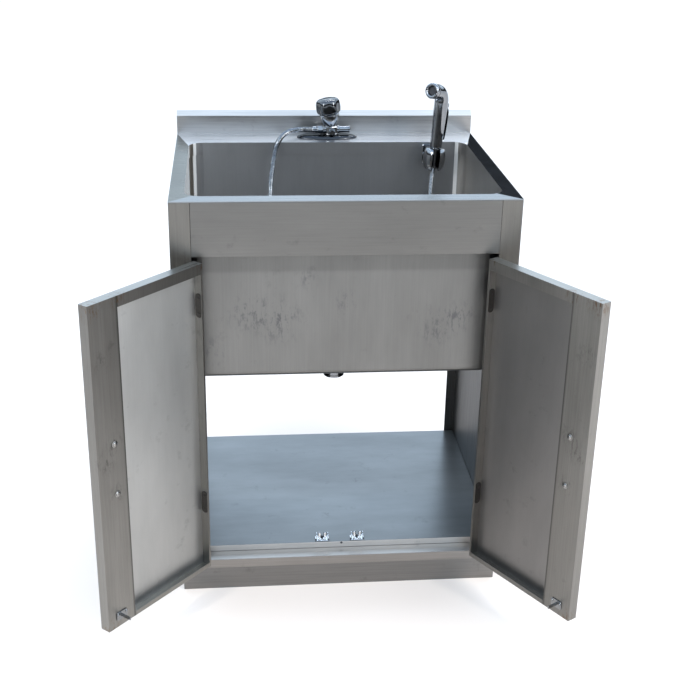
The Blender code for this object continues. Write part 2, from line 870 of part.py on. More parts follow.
def spray_body(axis, aim_here, elbow_end):
    """The grip with its curved head, and two ears that hold the trigger's pin."""
    bend = 0.024
    start = GRIP_TALL + 0.0015
    full = math.atan2(-aim_here.x, aim_here.z)
    path = [(0, 0, 0), (0, 0, 0.006), (0, 0, 0.030), (0, 0, 0.060), (0, 0, GRIP_TALL - 0.010)]
    radii = [0.0112, 0.0122, 0.0126, 0.0132, 0.0138]
    steps = 7
    for i in range(steps + 1):
        angle = full * i / steps
        path.append((bend * (math.cos(angle) - 1), 0, start + bend * math.sin(angle)))
        radii.append(0.0139 + 0.0004 * i / steps)
    path.append(elbow_end)
    radii.append(0.0144)
    body = swept("spray_body", path, radii, 28)
    for turn, mark in ((-1, "left"), (1, "right")):
        edges = sorted((turn * 0.0046, turn * 0.0070))
        low = (0.008, edges[0], LUG_Z - 0.005)
        high = (LUG_X + 0.0035, edges[1], LUG_Z + 0.005)
        join(body, box(f"spray_{mark}_ear_tool", low, high), parent=axis)
    pin = turned("spray_pin_tool", [(0.0014, -0.0060), (0.0014, 0.0060)], 20)
    join(body, pin, parent=axis, at=(LUG_X, 0, LUG_Z), turn=(math.pi / 2, 0, 0))
    place(body, chrome("spray_body"), parent=axis)


def spray_lever(axis):
    """The trigger: an eye on the pin and a long thumb plate down the back of the grip."""
    lever_axis = axis_empty("spray_lever_axis", (LUG_X, 0, LUG_Z), parent=axis)
    eye = box("spray_lever", (-0.0022, -0.0043, -0.0045), (0.0035, 0.0043, 0.0040))
    outline = [
        (0.0000, -0.0035),
        (0.0040, 0.0020),
        (0.0055, 0.0000),
        (0.0055, -0.0120),
        (0.0042, -0.0400),
        (0.0035, -0.0640),
        (0.0055, -0.0720),
        (0.0036, -0.0728),
        (0.0010, -0.0640),
        (0.0016, -0.0400),
        (0.0025, -0.0120),
        (0.0022, -0.0058),
    ]
    join(eye, prism("spray_spine_tool", outline, -0.0040, 0.0040, "Y"), parent=lever_axis)
    plate = [(0.0055, -0.0062), *outline[3:11], (0.0024, -0.0062)]
    join(eye, prism("spray_thumb_tool", plate, -0.0095, 0.0095, "Y"), parent=lever_axis)
    bore = turned("spray_lever_bore_tool", [(0.0017, -0.02), (0.0017, 0.02)], 20)
    cut(eye, bore, parent=lever_axis, turn=(math.pi / 2, 0, 0))
    place(eye, chrome("spray_lever"), parent=lever_axis)


def spray():
    turn = spray_turn()
    axis = axis_empty("spray_axis", SPRAY_FOOT, turn.to_euler())
    aim_here = turn.transposed() @ SPRAY_AIM
    full = math.atan2(-aim_here.x, aim_here.z)
    elbow = Vector((0.024 * (math.cos(full) - 1), 0, GRIP_TALL + 0.0015 + 0.024 * math.sin(full)))
    elbow_end = elbow + aim_here * 0.0095
    spray_body(axis, aim_here, elbow_end)
    spray_lever(axis)
    nozzle = [
        (0.0130, 0.0),
        (0.0150, 0.0020),
        (0.0155, 0.0060),
        (0.0155, 0.0095),
        (0.0145, 0.0112),
        (0.0090, 0.0120),
        (0.0080, 0.0110),
        (0.0080, 0.0040),
    ]
    spot = elbow_end + aim_here * GAP
    facing = aim(aim_here)
    place(turned("spray_nozzle", nozzle, 36), chrome("spray_nozzle"), axis, spot, facing)
    rose = turned("spray_rose", [(0.0077, 0.0043), (0.0077, 0.0065), (0.0070, 0.0070)], 28)
    place(rose, rubber("spray_rose"), axis, spot, facing)
    nut = [(0.0100, -GAP), (0.0100, -0.003), (0.0072, -0.040), (0.0064, -SPRAY_NUT_END)]
    place(turned("spray_hose_nut", nut, 28), chrome("spray_hose_nut"), axis)


def spray_holder():
    """A forked cone on the bowl's back wall. The hose's cone nut drops into it from above."""
    low, high = -0.0450, -0.0010
    reach = 0.0230
    slot = 0.0075
    outline = []
    for i in range(25):
        angle = math.radians(-71 + 322 * i / 24)
        outline.append((reach * math.cos(angle), reach * math.sin(angle)))
    outline += [(-slot, 0.002), (slot, 0.002)]
    fork = prism("spray_holder", outline, low, high, "Z")
    bevel = fork.modifiers.new("Bevel", "BEVEL")
    bevel.width = 0.0018
    bevel.segments = 2
    bevel.limit_method = "ANGLE"
    bevel.angle_limit = math.radians(40)
    turn = (0, SPRAY_LEAN, 0)
    cone = turned(
        "holder_cone_tool",
        [(0.0072, -0.050), (0.0076, -0.040), (0.0104, -0.003), (0.0107, 0.002)],
        28,
    )
    wall = DECK_FRONT - GAP
    arm = box(
        "holder_arm_tool",
        (SPRAY_FOOT.x - 0.014, SPRAY_FOOT.y + 0.016, RIM_Z - 0.036),
        (SPRAY_FOOT.x + 0.006, wall - 0.002, RIM_Z - 0.012),
    )
    plate = box(
        "holder_plate_tool",
        (SPRAY_FOOT.x - 0.023, wall - 0.003, RIM_Z - 0.045),
        (SPRAY_FOOT.x + 0.014, wall, RIM_Z - 0.004),
    )
    join(fork, arm)
    join(fork, plate)
    cut(fork, cone, at=SPRAY_FOOT, turn=turn)
    place(round_off(fork), chrome("spray_holder"), at=SPRAY_FOOT, turn=turn)


def hose():
    """A metal hose from the tap over the rim, round the drain on the bowl's floor and up to the spray."""
    floor = BOWL_BOTTOM + SHEET + HOSE_RADIUS + 0.0005
    start = Vector((TAP_X - TAP_NUT_END - 2 * GAP, TAP_Y, TAP_ARM_Z))
    end = SPRAY_FOOT - SPRAY_UP * (SPRAY_NUT_END + GAP)
    corners = [
        start,
        start + Vector((-0.026, -0.0022, 0)),
        (-0.0825, 0.4365, 0.8110),
        (-0.1000, 0.4120, 0.8030),
        (-0.1110, 0.3935, 0.7830),
        (-0.119, 0.382, 0.736),
        (-0.122, 0.381, 0.700),
        (-0.124, 0.382, 0.640),
        (-0.125, 0.383, 0.580),
        (-0.125, 0.376, 0.520),
        (-0.126, 0.346, 0.476),
        (-0.129, 0.300, floor),
        (-0.135, 0.240, floor),
        (-0.134, 0.175, floor),
        (-0.107, 0.116, floor),
        (-0.056, 0.080, floor),
        (0.008, 0.068, floor),
        (0.074, 0.079, floor),
        (0.131, 0.111, floor),
        (0.173, 0.162, floor),
        (0.198, 0.225, floor),
        (0.208, 0.300, floor + 0.006),
        (0.2115, 0.350, 0.494),
        (0.2125, 0.374, 0.546),
        (0.2120, 0.381, 0.610),
        end - SPRAY_UP * 0.070,
        end - SPRAY_UP * 0.030,
        end,
    ]
    data = bpy.data.curves.new("hose", "CURVE")
    data.dimensions = "3D"
    data.bevel_depth = HOSE_RADIUS
    data.bevel_resolution = 4
    data.use_fill_caps = True
    points = smooth_path(corners, HOSE_STEP)
    for point in points:
        point.z = max(point.z, floor)
    spline = data.splines.new("POLY")
    spline.points.add(len(points) - 1)
    for spot, point in zip(spline.points, points):
        spot.co = (*point, 1.0)
    place(bpy.data.objects.new("hose", data), steel("hose"))


def main():
    clear_scene()
    sink_top()
    sink_bowl()
    front_apron()
    side_panel("side_panel_left", -1)
    side_panel("side_panel_right", 1)
    base_rails()
    bottom_shelf()
    plinth()
    rear_top_rail()
    drain()
    door("left", -1, OPEN_LEFT)
    door("right", 1, OPEN_RIGHT)
    catch("left", -1)
    catch("right", 1)
    tap_base_plate()
    tap_body()
    tap_nuts()
    tap_knob()
    hose()
    spray()
    spray_holder()


main()
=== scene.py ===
"""Looks of the portable handwash sink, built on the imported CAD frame. Metres, +Z up, +Y to the back."""

import math

import bmesh
import bpy
from mathutils import Matrix, Vector


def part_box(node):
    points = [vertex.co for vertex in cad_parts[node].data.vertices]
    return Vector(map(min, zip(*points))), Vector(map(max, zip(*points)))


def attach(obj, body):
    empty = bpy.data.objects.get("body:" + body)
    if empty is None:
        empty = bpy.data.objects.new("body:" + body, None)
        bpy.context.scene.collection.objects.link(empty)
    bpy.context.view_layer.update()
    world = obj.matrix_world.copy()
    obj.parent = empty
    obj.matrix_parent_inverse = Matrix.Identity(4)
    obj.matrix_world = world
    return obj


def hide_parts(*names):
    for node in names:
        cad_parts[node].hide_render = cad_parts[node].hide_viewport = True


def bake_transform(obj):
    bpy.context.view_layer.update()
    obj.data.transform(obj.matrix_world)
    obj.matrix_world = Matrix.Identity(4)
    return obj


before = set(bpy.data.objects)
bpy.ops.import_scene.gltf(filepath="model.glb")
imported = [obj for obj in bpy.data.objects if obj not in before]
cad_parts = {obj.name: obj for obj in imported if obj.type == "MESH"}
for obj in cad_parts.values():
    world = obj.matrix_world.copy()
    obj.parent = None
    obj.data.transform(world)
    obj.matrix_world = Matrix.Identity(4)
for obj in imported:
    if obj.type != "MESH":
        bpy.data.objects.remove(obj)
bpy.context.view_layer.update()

OPEN = {"left": math.radians(131.5), "right": math.radians(121.5)}
SIDES = {"left": -1, "right": 1}
TAP_LEAN = math.radians(-9.0)
SPRAY_LEAN = math.radians(4.4)
SPRAY_AIM = Vector((-0.66, -0.72, 0.20)).normalized()
HOSE_RADIUS = 0.0055
HOSE_STEP = 0.026
HOSE_PITCH = 0.0024
HOSE_RIDGE = 0.00065

# Places follow the CAD frame. U is measured across a door from its hinge.
# TOP_DEPTH is the top's sheet with the gap under it, and BOWL_FALL the slope of the bowl's floor.
GAP = 0.0003
SHEET = 0.0012
TOP_DEPTH = 0.0018
BOWL_FALL = 0.003
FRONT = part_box("sink_top")[0].y
RIM_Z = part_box("side_panel_left")[1].z + TOP_DEPTH
SHELF_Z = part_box("bottom_shelf")[1].z
BOWL_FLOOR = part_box("sink_bowl")[0].z + BOWL_FALL + SHEET
DRAIN = Vector((0, FRONT + 0.2315, 0))
TAP = Vector((0.0095, FRONT + 0.471, RIM_Z + 0.0175))
TAP_FRAME = Matrix.Translation(TAP)
SPRAY_FOOT = Vector((0.2190, FRONT + 0.395, RIM_Z - 0.004))
SPRAY_UP = Vector((math.sin(SPRAY_LEAN), 0.0, math.cos(SPRAY_LEAN)))
TAP_HOSE_END = 0.0406
SPRAY_HOSE_END = 0.0423
GRIP_TALL = 0.0925
LUG = Vector((0.0170, 0, GRIP_TALL - 0.006))
HANDLE_Z = 0.3835
HANDLE_HALF = 0.048
HANDLE_U = 0.2305
STRIKE_U = 0.2385
STILE_EDGE = 0.2065
INNER_FACE = 0.0253
HINGE_X = 0.2735
HINGE_Y = FRONT - 0.005
HINGE_Z = {"upper": 0.610, "lower": 0.210}

# Base colours and tones, by place
FLOOR_PAINT = (0.86, 0.74, 0.64)
SKY_STRENGTH = 2.1
# Painted light: the door panels are one steel, given a lighter tone on the left door and a darker one on
# the right.
DOOR_PANEL = {"left": (0.53, 0.53, 0.515), "right": (0.25, 0.24, 0.23)}
APRON = (0.173, 0.168, 0.158)
POST = (0.188, 0.179, 0.163)
# Painted shade: the side panels' inward faces are the same steel, made nearly black and less metallic for
# the shade inside the cabinet.
INSIDE_SHADE = (0.022, 0.0215, 0.0205)
RAIL = (0.290, 0.275, 0.260)
# Painted light: the rails' upward faces and the shelf's faces other than its top are the same steel, made
# lighter for the light falling on them.
LEDGE = (0.52, 0.49, 0.46)
SHELF = (0.178, 0.186, 0.188)
PLINTH = (0.215, 0.21, 0.203)
# Painted light and shade: the top is one sheet of steel, given a tone on each face for the light there: the
# deck and the backsplash's top and lower fold lightest, the right rim darkest and duller at glancing
# angles.
RIM = (0.27, 0.28, 0.285)
RIGHT_RIM = (0.085, 0.087, 0.090)
LEFT_RIM = (0.176, 0.174, 0.155)
DECK = (0.79, 0.79, 0.80)
SPLASH = (0.39, 0.38, 0.37)
SPLASH_TOP = (0.66, 0.60, 0.52)
BOWL_OUTER = (0.187, 0.184, 0.175)
# Painted light and shade inside the bowl: one steel, with the back wall darker, the left wall lighter and
# partly diffuse, and painted reflection streaks, dark and bright, down the rounded corners at the back.
BOWL_INNER = (0.53, 0.50, 0.465)
BOWL_BACK = (0.39, 0.39, 0.395)
BOWL_LEFT = (0.95, 0.92, 0.87)
BOWL_CORNER_REFLECTION = (0.42, 0.37, 0.31)
DOOR = (0.228, 0.220, 0.204)
# Painted light and shade: the doors' tones near the foot and near the top, as the reflections change up
# each door.
DOOR_FADE = {"left": (1.06, 0.74), "right": (0.86, 1.16)}
PANEL_FADE = {"left": (0.78, 1.18), "right": (0.98, 0.90)}


# ---- mesh helpers

def shell(bm, rings, closed):
    """Adds a skin through rings of points; closed joins the last ring to the first."""
    made = [[bm.verts.new(p) for p in ring] for ring in rings]
    pairs = list(zip(made, made[1:]))
    if closed:
        pairs.append((made[-1], made[0]))
    else:
        bm.faces.new(made[0])
        bm.faces.new(made[-1])
    for one, two in pairs:
        for i in range(len(one)):
            j = (i + 1) % len(one)
            bm.faces.new((one[i], one[j], two[j], two[i]))


def shifted(x, y, z):
    return Matrix.Translation((x, y, z))


def quarter_turn(axis, way=1):
    """A turn of 90 degrees about an axis, backwards where way is -1."""
    return Matrix.Rotation(way * math.pi / 2, 4, axis)


def moved(rings, matrix):
    return [[matrix @ Vector(p) for p in ring] for ring in rings]


def solid(name, shells, angle=40, closed=False):
    """One object from several skins, each a list of rings; edges sharper than the angle stay sharp."""
    bm = bmesh.new()
    for rings in shells:
        shell(bm, rings, closed)
    bmesh.ops.recalc_face_normals(bm, faces=bm.faces)
    data = bpy.data.meshes.new(name)
    bm.to_mesh(data)
    bm.free()
    data.shade_smooth()
    data.set_sharp_from_angle(angle=math.radians(angle))
    obj = bpy.data.objects.new(name, data)
    bpy.context.scene.collection.objects.link(obj)
    return obj


def polar(radius, angle, height=0):
    return (radius * math.cos(angle), radius * math.sin(angle), height)


def circle(radius, count, height, flute=0.0, lobes=6):
    """A ring of points, drawn in between its lobes by the flute's depth."""
    ring = []
    for i in range(count):
        angle = 2 * math.pi * i / count
        reach = radius - flute * (0.5 - 0.5 * math.cos(lobes * angle))
        ring.append(polar(reach, angle, height))
    return ring


def hexagon(apothem, height, largest=1.0):
    """A hexagon with its points cut back to a circle, as on a chamfered nut."""
    ring = []
    for i in range(72):
        angle = 2 * math.pi * i / 72
        wedge = (angle + math.pi / 6) % (math.pi / 3) - math.pi / 6
        reach = min(apothem / math.cos(wedge), largest)
        ring.append(polar(reach, angle, height))
    return ring


def turned(profile, count=64):
    """Rings of a turned shape from (radius, height) pairs."""
    return [circle(radius, count, height) for radius, height in profile]


def rounded(half_x, half_y, radius, height, steps=6):
    """A rectangle with round corners, about the Z axis."""
    ring = []
    corners = ((1, 1, 0), (-1, 1, 90), (-1, -1, 180), (1, -1, 270))
    for side_x, side_y, start in corners:
        for i in range(steps + 1):
            angle = math.radians(start + 90 * i / steps)
            x = side_x * (half_x - radius) + radius * math.cos(angle)
            y = side_y * (half_y - radius) + radius * math.sin(angle)
            ring.append((x, y, height))
    return ring


def slab(half_x, half_y, low, high, radius=0.001, edge=0.0004):
    """Rings of a plate with round corners and softened edges."""
    return [
        rounded(half_x - edge, half_y - edge, radius, low),
        rounded(half_x, half_y, radius, low + edge),
        rounded(half_x, half_y, radius, high - edge),
        rounded(half_x - edge, half_y - edge, radius, high),
    ]


def frames_along(points):
    tangents = []
    for i in range(len(points)):
        low = points[max(i - 1, 0)]
        high = points[min(i + 1, len(points) - 1)]
        tangents.append((high - low).normalized())
    side = tangents[0].orthogonal().normalized()
    made = []
    for tangent in tangents:
        side = (side - tangent * side.dot(tangent)).normalized()
        made.append((side, tangent.cross(side)))
    return made


def swept(points, radii, count=24):
    """Rings of a round bar of changing thickness along points."""
    points = [Vector(p) for p in points]
    rings = []
    for point, radius, (side, other) in zip(points, radii, frames_along(points)):
        ring = []
        for i in range(count):
            angle = 2 * math.pi * i / count
            ring.append(point + (side * math.cos(angle) + other * math.sin(angle)) * radius)
        rings.append(ring)
    return rings


def curve_between(points, count):
    """Points along a smooth curve through the given ones, count to each stretch."""
    points = [Vector(p) for p in points]
    ends = [2 * points[0] - points[1], *points, 2 * points[-1] - points[-2]]
    fine = []
    for a, b, c, d in zip(ends, ends[1:], ends[2:], ends[3:]):
        for i in range(count):
            t = i / count
            square, cube = t * t, t * t * t
            fine.append(
                (2 * b + (c - a) * t + (2 * a - 5 * b + 4 * c - d) * square
                 + (3 * b - a - 3 * c + d) * cube) / 2
            )
    fine.append(points[-1])
    return fine


def evenly(points, step):
    """The same line with its points an even step apart."""
    length = sum((q - p).length for p, q in zip(points, points[1:]))
    spacing = length / round(length / step)
    even = [points[0]]
    walked = 0.0
    for p, q in zip(points, points[1:]):
        stretch = (q - p).length
        while walked + stretch >= spacing * len(even) - 1e-9 and stretch > 0:
            even.append(p.lerp(q, (spacing * len(even) - walked) / stretch))
        walked += stretch
    even[-1] = points[-1]
    return even


def place(obj, skin, matrix, body, *nodes, slot="bright"):
    """Puts a piece where the CAD nodes it stands for are, and lets it ride on their body."""
    obj.matrix_world = matrix
    obj.data.materials.append(skin)
    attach(obj, body)
    if nodes:
        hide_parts(*nodes)
    return obj


# ---- materials

def fill(ramp, stops):
    """Sets a colour ramp's stops; a plain number is a grey."""
    while len(ramp.elements) < len(stops):
        ramp.elements.new(0.5)
    for element, (position, colour) in zip(ramp.elements, stops):
        element.position = position
        if not hasattr(colour, "__len__"):
            colour = (colour, colour, colour)
        element.color = (*colour, 1.0)


class Nodes:
    """A short way to wire shader nodes in one material."""

    def __init__(self, name):
        self.material = bpy.data.materials.new(name)
        self.material.use_nodes = True
        self.tree = self.material.node_tree
        self.shader = self.tree.nodes["Principled BSDF"]

    def add(self, kind, **values):
        node = self.tree.nodes.new(kind)
        for key, value in values.items():
            if hasattr(node, key):
                setattr(node, key, value)
            else:
                node.inputs[key.replace("_", " ")].default_value = value
        return node

    def wire(self, out, into):
        self.tree.links.new(out, into)

    def feed(self, value, socket):
        """Wires an output into a socket, or sets the socket to a number or colour."""
        if hasattr(value, "is_linked"):
            self.wire(value, socket)
        elif hasattr(value, "__len__"):
            socket.default_value = (*value, 1.0)
        else:
            socket.default_value = value

    def set(self, **values):
        for key, value in values.items():
            self.shader.inputs[key.replace("_", " ")].default_value = value

    def coordinates(self, turn=0.0, kind="Object"):
        """Places on the object, or with Normal its facings, turned about Z."""
        source = self.add("ShaderNodeTexCoord")
        node = self.add("ShaderNodeMapping", Rotation=(0, 0, turn))
        self.wire(source.outputs[kind], node.inputs["Vector"])
        return node.outputs["Vector"]

    def parts(self, vector):
        """The X, Y and Z outputs of a vector."""
        node = self.add("ShaderNodeSeparateXYZ")
        self.wire(vector, node.inputs["Vector"])
        return node.outputs

    def scaled(self, vector, scale):
        node = self.add("ShaderNodeMapping", Scale=scale)
        self.wire(vector, node.inputs["Vector"])
        return node.outputs["Vector"]

    def maths(self, operation, one, two=0.0):
        node = self.add("ShaderNodeMath", operation=operation)
        self.feed(one, node.inputs[0])
        self.feed(two, node.inputs[1])
        return node.outputs[0]

    def noise(self, vector, scale, detail=3.0, roughness=0.5):
        node = self.add("ShaderNodeTexNoise", Scale=scale, Detail=detail, Roughness=roughness)
        self.wire(vector, node.inputs["Vector"])
        return node.outputs["Fac"]

    def ramp(self, value, stops):
        node = self.add("ShaderNodeValToRGB")
        fill(node.color_ramp, stops)
        self.wire(value, node.inputs["Fac"])
        return node.outputs["Color"]

    def mix(self, factor, one, two, blend="MIX"):
        """Two colours mixed; the numbers are the colour sockets' places on the node."""
        node = self.add("ShaderNodeMix", data_type="RGBA", blend_type=blend)
        self.feed(factor, node.inputs[0])
        self.feed(one, node.inputs[6])
        self.feed(two, node.inputs[7])
        return node.outputs[2]

    def coat(self, base, gloss=None):
        """Wires the base colour, and the roughness where it varies."""
        self.wire(base, self.shader.inputs["Base Color"])
        if gloss:
            self.wire(gloss, self.shader.inputs["Roughness"])

    def bump(self, height, strength, distance):
        node = self.add("ShaderNodeBump", Strength=strength, Distance=distance)
        self.wire(height, node.inputs["Height"])
        self.wire(node.outputs["Normal"], self.shader.inputs["Normal"])


def tinted(colour, factor):
    return tuple(min(c * factor, 1.0) for c in colour)


def brushed(
    name,
    colour,
    turn=0.0,
    upright=False,
    rough=0.34,
    marks=0.22,
    cloud=0.10,
    grain=0.10,
    spots=(),
    fade=(1.0, 1.0),
    shade=None,
    line=None,
    metal=1.0,
    edge=1.0,
):
    """Brushed sheet: fine lines, cloudy smudges, rubbed marks, and tint or dirt at the given spots.

    The lines run across, or up where upright is set, and follow round the folds. A spot is (place, reach,
    colour, strength). The fade is painted light and shade: the tone near the foot and near the top. The
    shade is a painted shadow band: (height, tone) of a darker part above that height. A line is a painted
    shadow line: (place across, half its width, tone). The edge is the tint at glancing angles."""
    made = Nodes(name)
    whole = made.coordinates()
    turned_place = made.coordinates(turn)
    facing = made.parts(made.coordinates(turn, "Normal"))
    fine, long = 420, 7
    across, deep, up = (long, fine, fine), (fine, long, fine), (fine, fine, long)
    front, side, top = (
        made.noise(made.scaled(turned_place, stretch), 1.0, 4.0, 0.6)
        for stretch in (up if upright else across, up if upright else deep, across)
    )
    sideways = made.maths("GREATER_THAN", made.maths("ABSOLUTE", facing["X"]), 0.7)
    level = made.maths("GREATER_THAN", made.maths("ABSOLUTE", facing["Z"]), 0.7)
    lines = made.mix(level, made.mix(sideways, front, side), top)

    wide = (1.5, 1.5, 0.5) if upright else (0.5, 1.5, 1.5)
    clouds = made.noise(made.scaled(turned_place, wide), 6.0, 5.0, 0.6)
    rubs = made.noise(turned_place, 30.0, 6.0, 0.65)
    place_of = made.parts(turned_place)
    # Tones: cloudy smudges and rubbed marks, then painted light and shade: the fade, the shadow band and
    # the shadow line.
    tones = [
        made.ramp(clouds, [(0.30, 1.0 - cloud), (0.70, 1.0 + cloud)]),
        made.ramp(rubs, [(0.62, 1.0), (0.76, 1.0 - marks)]),
        made.ramp(place_of["Z"], [(0.07, fade[0]), (0.71, fade[1])]),
    ]
    if shade:
        height, tone = shade
        tones.append(made.ramp(place_of["Z"], [(height - 0.003, 1.0), (height + 0.003, tone)]))
    if line:
        middle, half, tone = line
        away = made.maths("ABSOLUTE", made.maths("SUBTRACT", place_of["X"], middle))
        tones.append(made.ramp(away, [(half, tone), (half * 1.5, 1.0)]))
    base = made.ramp(lines, [(0.30, tinted(colour, 1 - grain)), (0.70, tinted(colour, 1 + grain))])
    for tone in tones:
        base = made.mix(1.0, base, tone, "MULTIPLY")

    for middle, reach, stain, strength in spots:
        away = made.add("ShaderNodeVectorMath", operation="DISTANCE")
        made.wire(whole, away.inputs[0])
        away.inputs[1].default_value = middle
        near = made.ramp(away.outputs["Value"], [(0.0, 1.0), (reach, 0.0)])
        patchy = made.noise(made.scaled(whole, (1.0, 1.0, 0.35)), 150.0, 6.0, 0.8)
        near = made.mix(1.0, near, made.ramp(patchy, [(0.50, 0.0), (0.60, strength)]), "MULTIPLY")
        base = made.mix(near, base, stain)

    made.coat(base, made.ramp(lines, [(0.25, rough - 0.5 * grain), (0.75, rough + 0.8 * grain)]))
    made.set(Metallic=metal, Specular_Tint=(edge, edge, edge, 1.0))
    made.bump(lines, grain, 0.0004)
    return made.material


def chrome(name, colour=(0.25, 0.257, 0.268), rough=0.05):
    """Plated brass: nearly a mirror, with faint waviness, water spots and a few dull patches."""
    made = Nodes(name)
    flat = made.coordinates()
    waves = made.noise(flat, 55.0, 2.0)
    spots = made.noise(flat, 420.0, 4.0, 0.7)
    base = made.ramp(spots, [(0.42, colour), (0.72, tinted(colour, 0.82))])
    made.coat(base, made.ramp(spots, [(0.45, rough), (0.75, rough + 0.14)]))
    made.set(Metallic=1.0)
    made.bump(waves, 0.12, 0.0008)
    return made.material


def rubber(name):
    """Matt black rubber; also painted shade, as a dark disc or cross standing for the inside of a small
    recess or hole.
    """
    colour = (0.025, 0.025, 0.027)
    made = Nodes(name)
    grain = made.noise(made.coordinates(), 900.0, 3.0)
    made.coat(made.ramp(grain, [(0.3, colour), (0.7, tinted(colour, 1.8))]))
    made.set(Roughness=0.7)
    made.bump(grain, 0.3, 0.0002)
    return made.material


def paint(nodes, material):
    """Gives whole CAD nodes one finish."""
    for name in nodes:
        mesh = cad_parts[name].data
        mesh.materials.clear()
        mesh.materials.append(material)


def soften(node, width):
    """Rounds a CAD node's folded and sheared edges, so that they catch the light."""
    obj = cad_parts[node]
    weld = obj.modifiers.new("Weld", "WELD")
    weld.merge_threshold = 0.00002
    flat = obj.modifiers.new("Flat", "DECIMATE")
    flat.decimate_type = "DISSOLVE"
    flat.angle_limit = math.radians(1)
    flat.delimit = {"MATERIAL"}
    bevel = obj.modifiers.new("Bevel", "BEVEL")
    bevel.width = width
    bevel.segments = 3
    bevel.limit_method = "ANGLE"
    bevel.angle_limit = math.radians(50)
    bevel.harden_normals = True


# ---- hose

def hose_route():
    """The hose's line from the tap's nut, over the rim, round the drain and up to the spray's nut."""
    floor = BOWL_FLOOR + HOSE_RADIUS + 0.0005
    start = TAP - Vector((TAP_HOSE_END, 0, 0))
    end = SPRAY_FOOT - SPRAY_UP * SPRAY_HOSE_END
    lying = (
        (-0.129, 0.300), (-0.135, 0.240), (-0.134, 0.175), (-0.107, 0.116), (-0.056, 0.080),
        (0.008, 0.068), (0.074, 0.079), (0.131, 0.111), (0.173, 0.162), (0.199, 0.225),
    )
    corners = [
        start,
        start + Vector((-0.026, -0.0022, 0)),
        (-0.0825, 0.4365, 0.8110), (-0.1000, 0.4120, 0.8030), (-0.1110, 0.3935, 0.7830),
        (-0.119, 0.382, 0.736), (-0.122, 0.381, 0.700), (-0.124, 0.382, 0.640), (-0.125, 0.383, 0.580),
        (-0.125, 0.376, 0.520), (-0.126, 0.346, 0.476),
        *((x, y, floor) for x, y in lying),
        (0.209, 0.300, floor + 0.006),
        (0.2130, 0.350, 0.494),
        (0.2145, 0.374, 0.546),
        (0.2145, 0.381, 0.610),
        end - SPRAY_UP * 0.070 + Vector((0.0025, 0, 0)),
        end - SPRAY_UP * 0.030,
        end,
    ]
    points = evenly(curve_between(corners, 24), HOSE_STEP)
    for point in points:
        point.z = max(point.z, floor)
    return points


def hose():
    """The wound steel hose, with a ridge to every turn. Its upper end meets the hand spray's nut where the
    spray rests.
    """
    points = hose_route()
    line = evenly(curve_between(points, 12), HOSE_PITCH / 4)
    radii = []
    for i in range(len(line)):
        wave = 0.5 + 0.5 * math.cos(2 * math.pi * i / 4)
        radii.append(HOSE_RADIUS - HOSE_RIDGE * (1 - wave))
    tube = solid("metal_hose", [swept(line, radii, 14)])
    tube.data.materials.append(hose_steel("hose_metal"))
    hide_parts("hose")
    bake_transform(tube)
    length = sum((q - p).length for p, q in zip(points, points[1:]))
    tuple(points[0])
    [tuple(p) for p in points]


def hose_steel(name):
    """Worn plated strip, speckled and a little dull."""
    made = Nodes(name)
    flat = made.coordinates()
    spots = made.noise(flat, 260.0, 4.0, 0.6)
    base = made.ramp(spots, [(0.35, (0.13, 0.135, 0.14)), (0.70, (0.30, 0.31, 0.32))])
    made.coat(base, made.ramp(spots, [(0.4, 0.18), (0.7, 0.32)]))
    made.set(Metallic=1.0)
    made.bump(spots, 0.15, 0.0002)
    return made.material


# ---- stage

def floor():
    """The plain pale floor."""
    data = bpy.data.meshes.new("studio_floor")
    data.from_pydata([(-60, -30, 0), (60, -30, 0), (60, 90, 0), (-60, 90, 0)], [], [(0, 1, 2, 3)])
    plane = bpy.data.objects.new("studio_floor", data)
    bpy.context.scene.collection.objects.link(plane)
    made = Nodes("studio_floor_paint")
    speckle = made.noise(made.coordinates(), 3.0, 2.0)
    made.coat(made.ramp(speckle, [(0.3, FLOOR_PAINT), (0.7, tinted(FLOOR_PAINT, 1.01))]))
    made.set(Roughness=0.9)
    plane.data.materials.append(made.material)


def area_light(name, spot, target, size, power, colour):
    """A soft rectangular lamp turned to its target."""
    data = bpy.data.lights.new(name, "AREA")
    data.shape = "RECTANGLE"
    data.size, data.size_y = size
    data.energy = power
    data.color = colour
    lamp = bpy.data.objects.new(name, data)
    bpy.context.scene.collection.objects.link(lamp)
    lamp.location = spot
    lamp.rotation_euler = (Vector(target) - Vector(spot)).to_track_quat("-Z", "Y").to_euler()


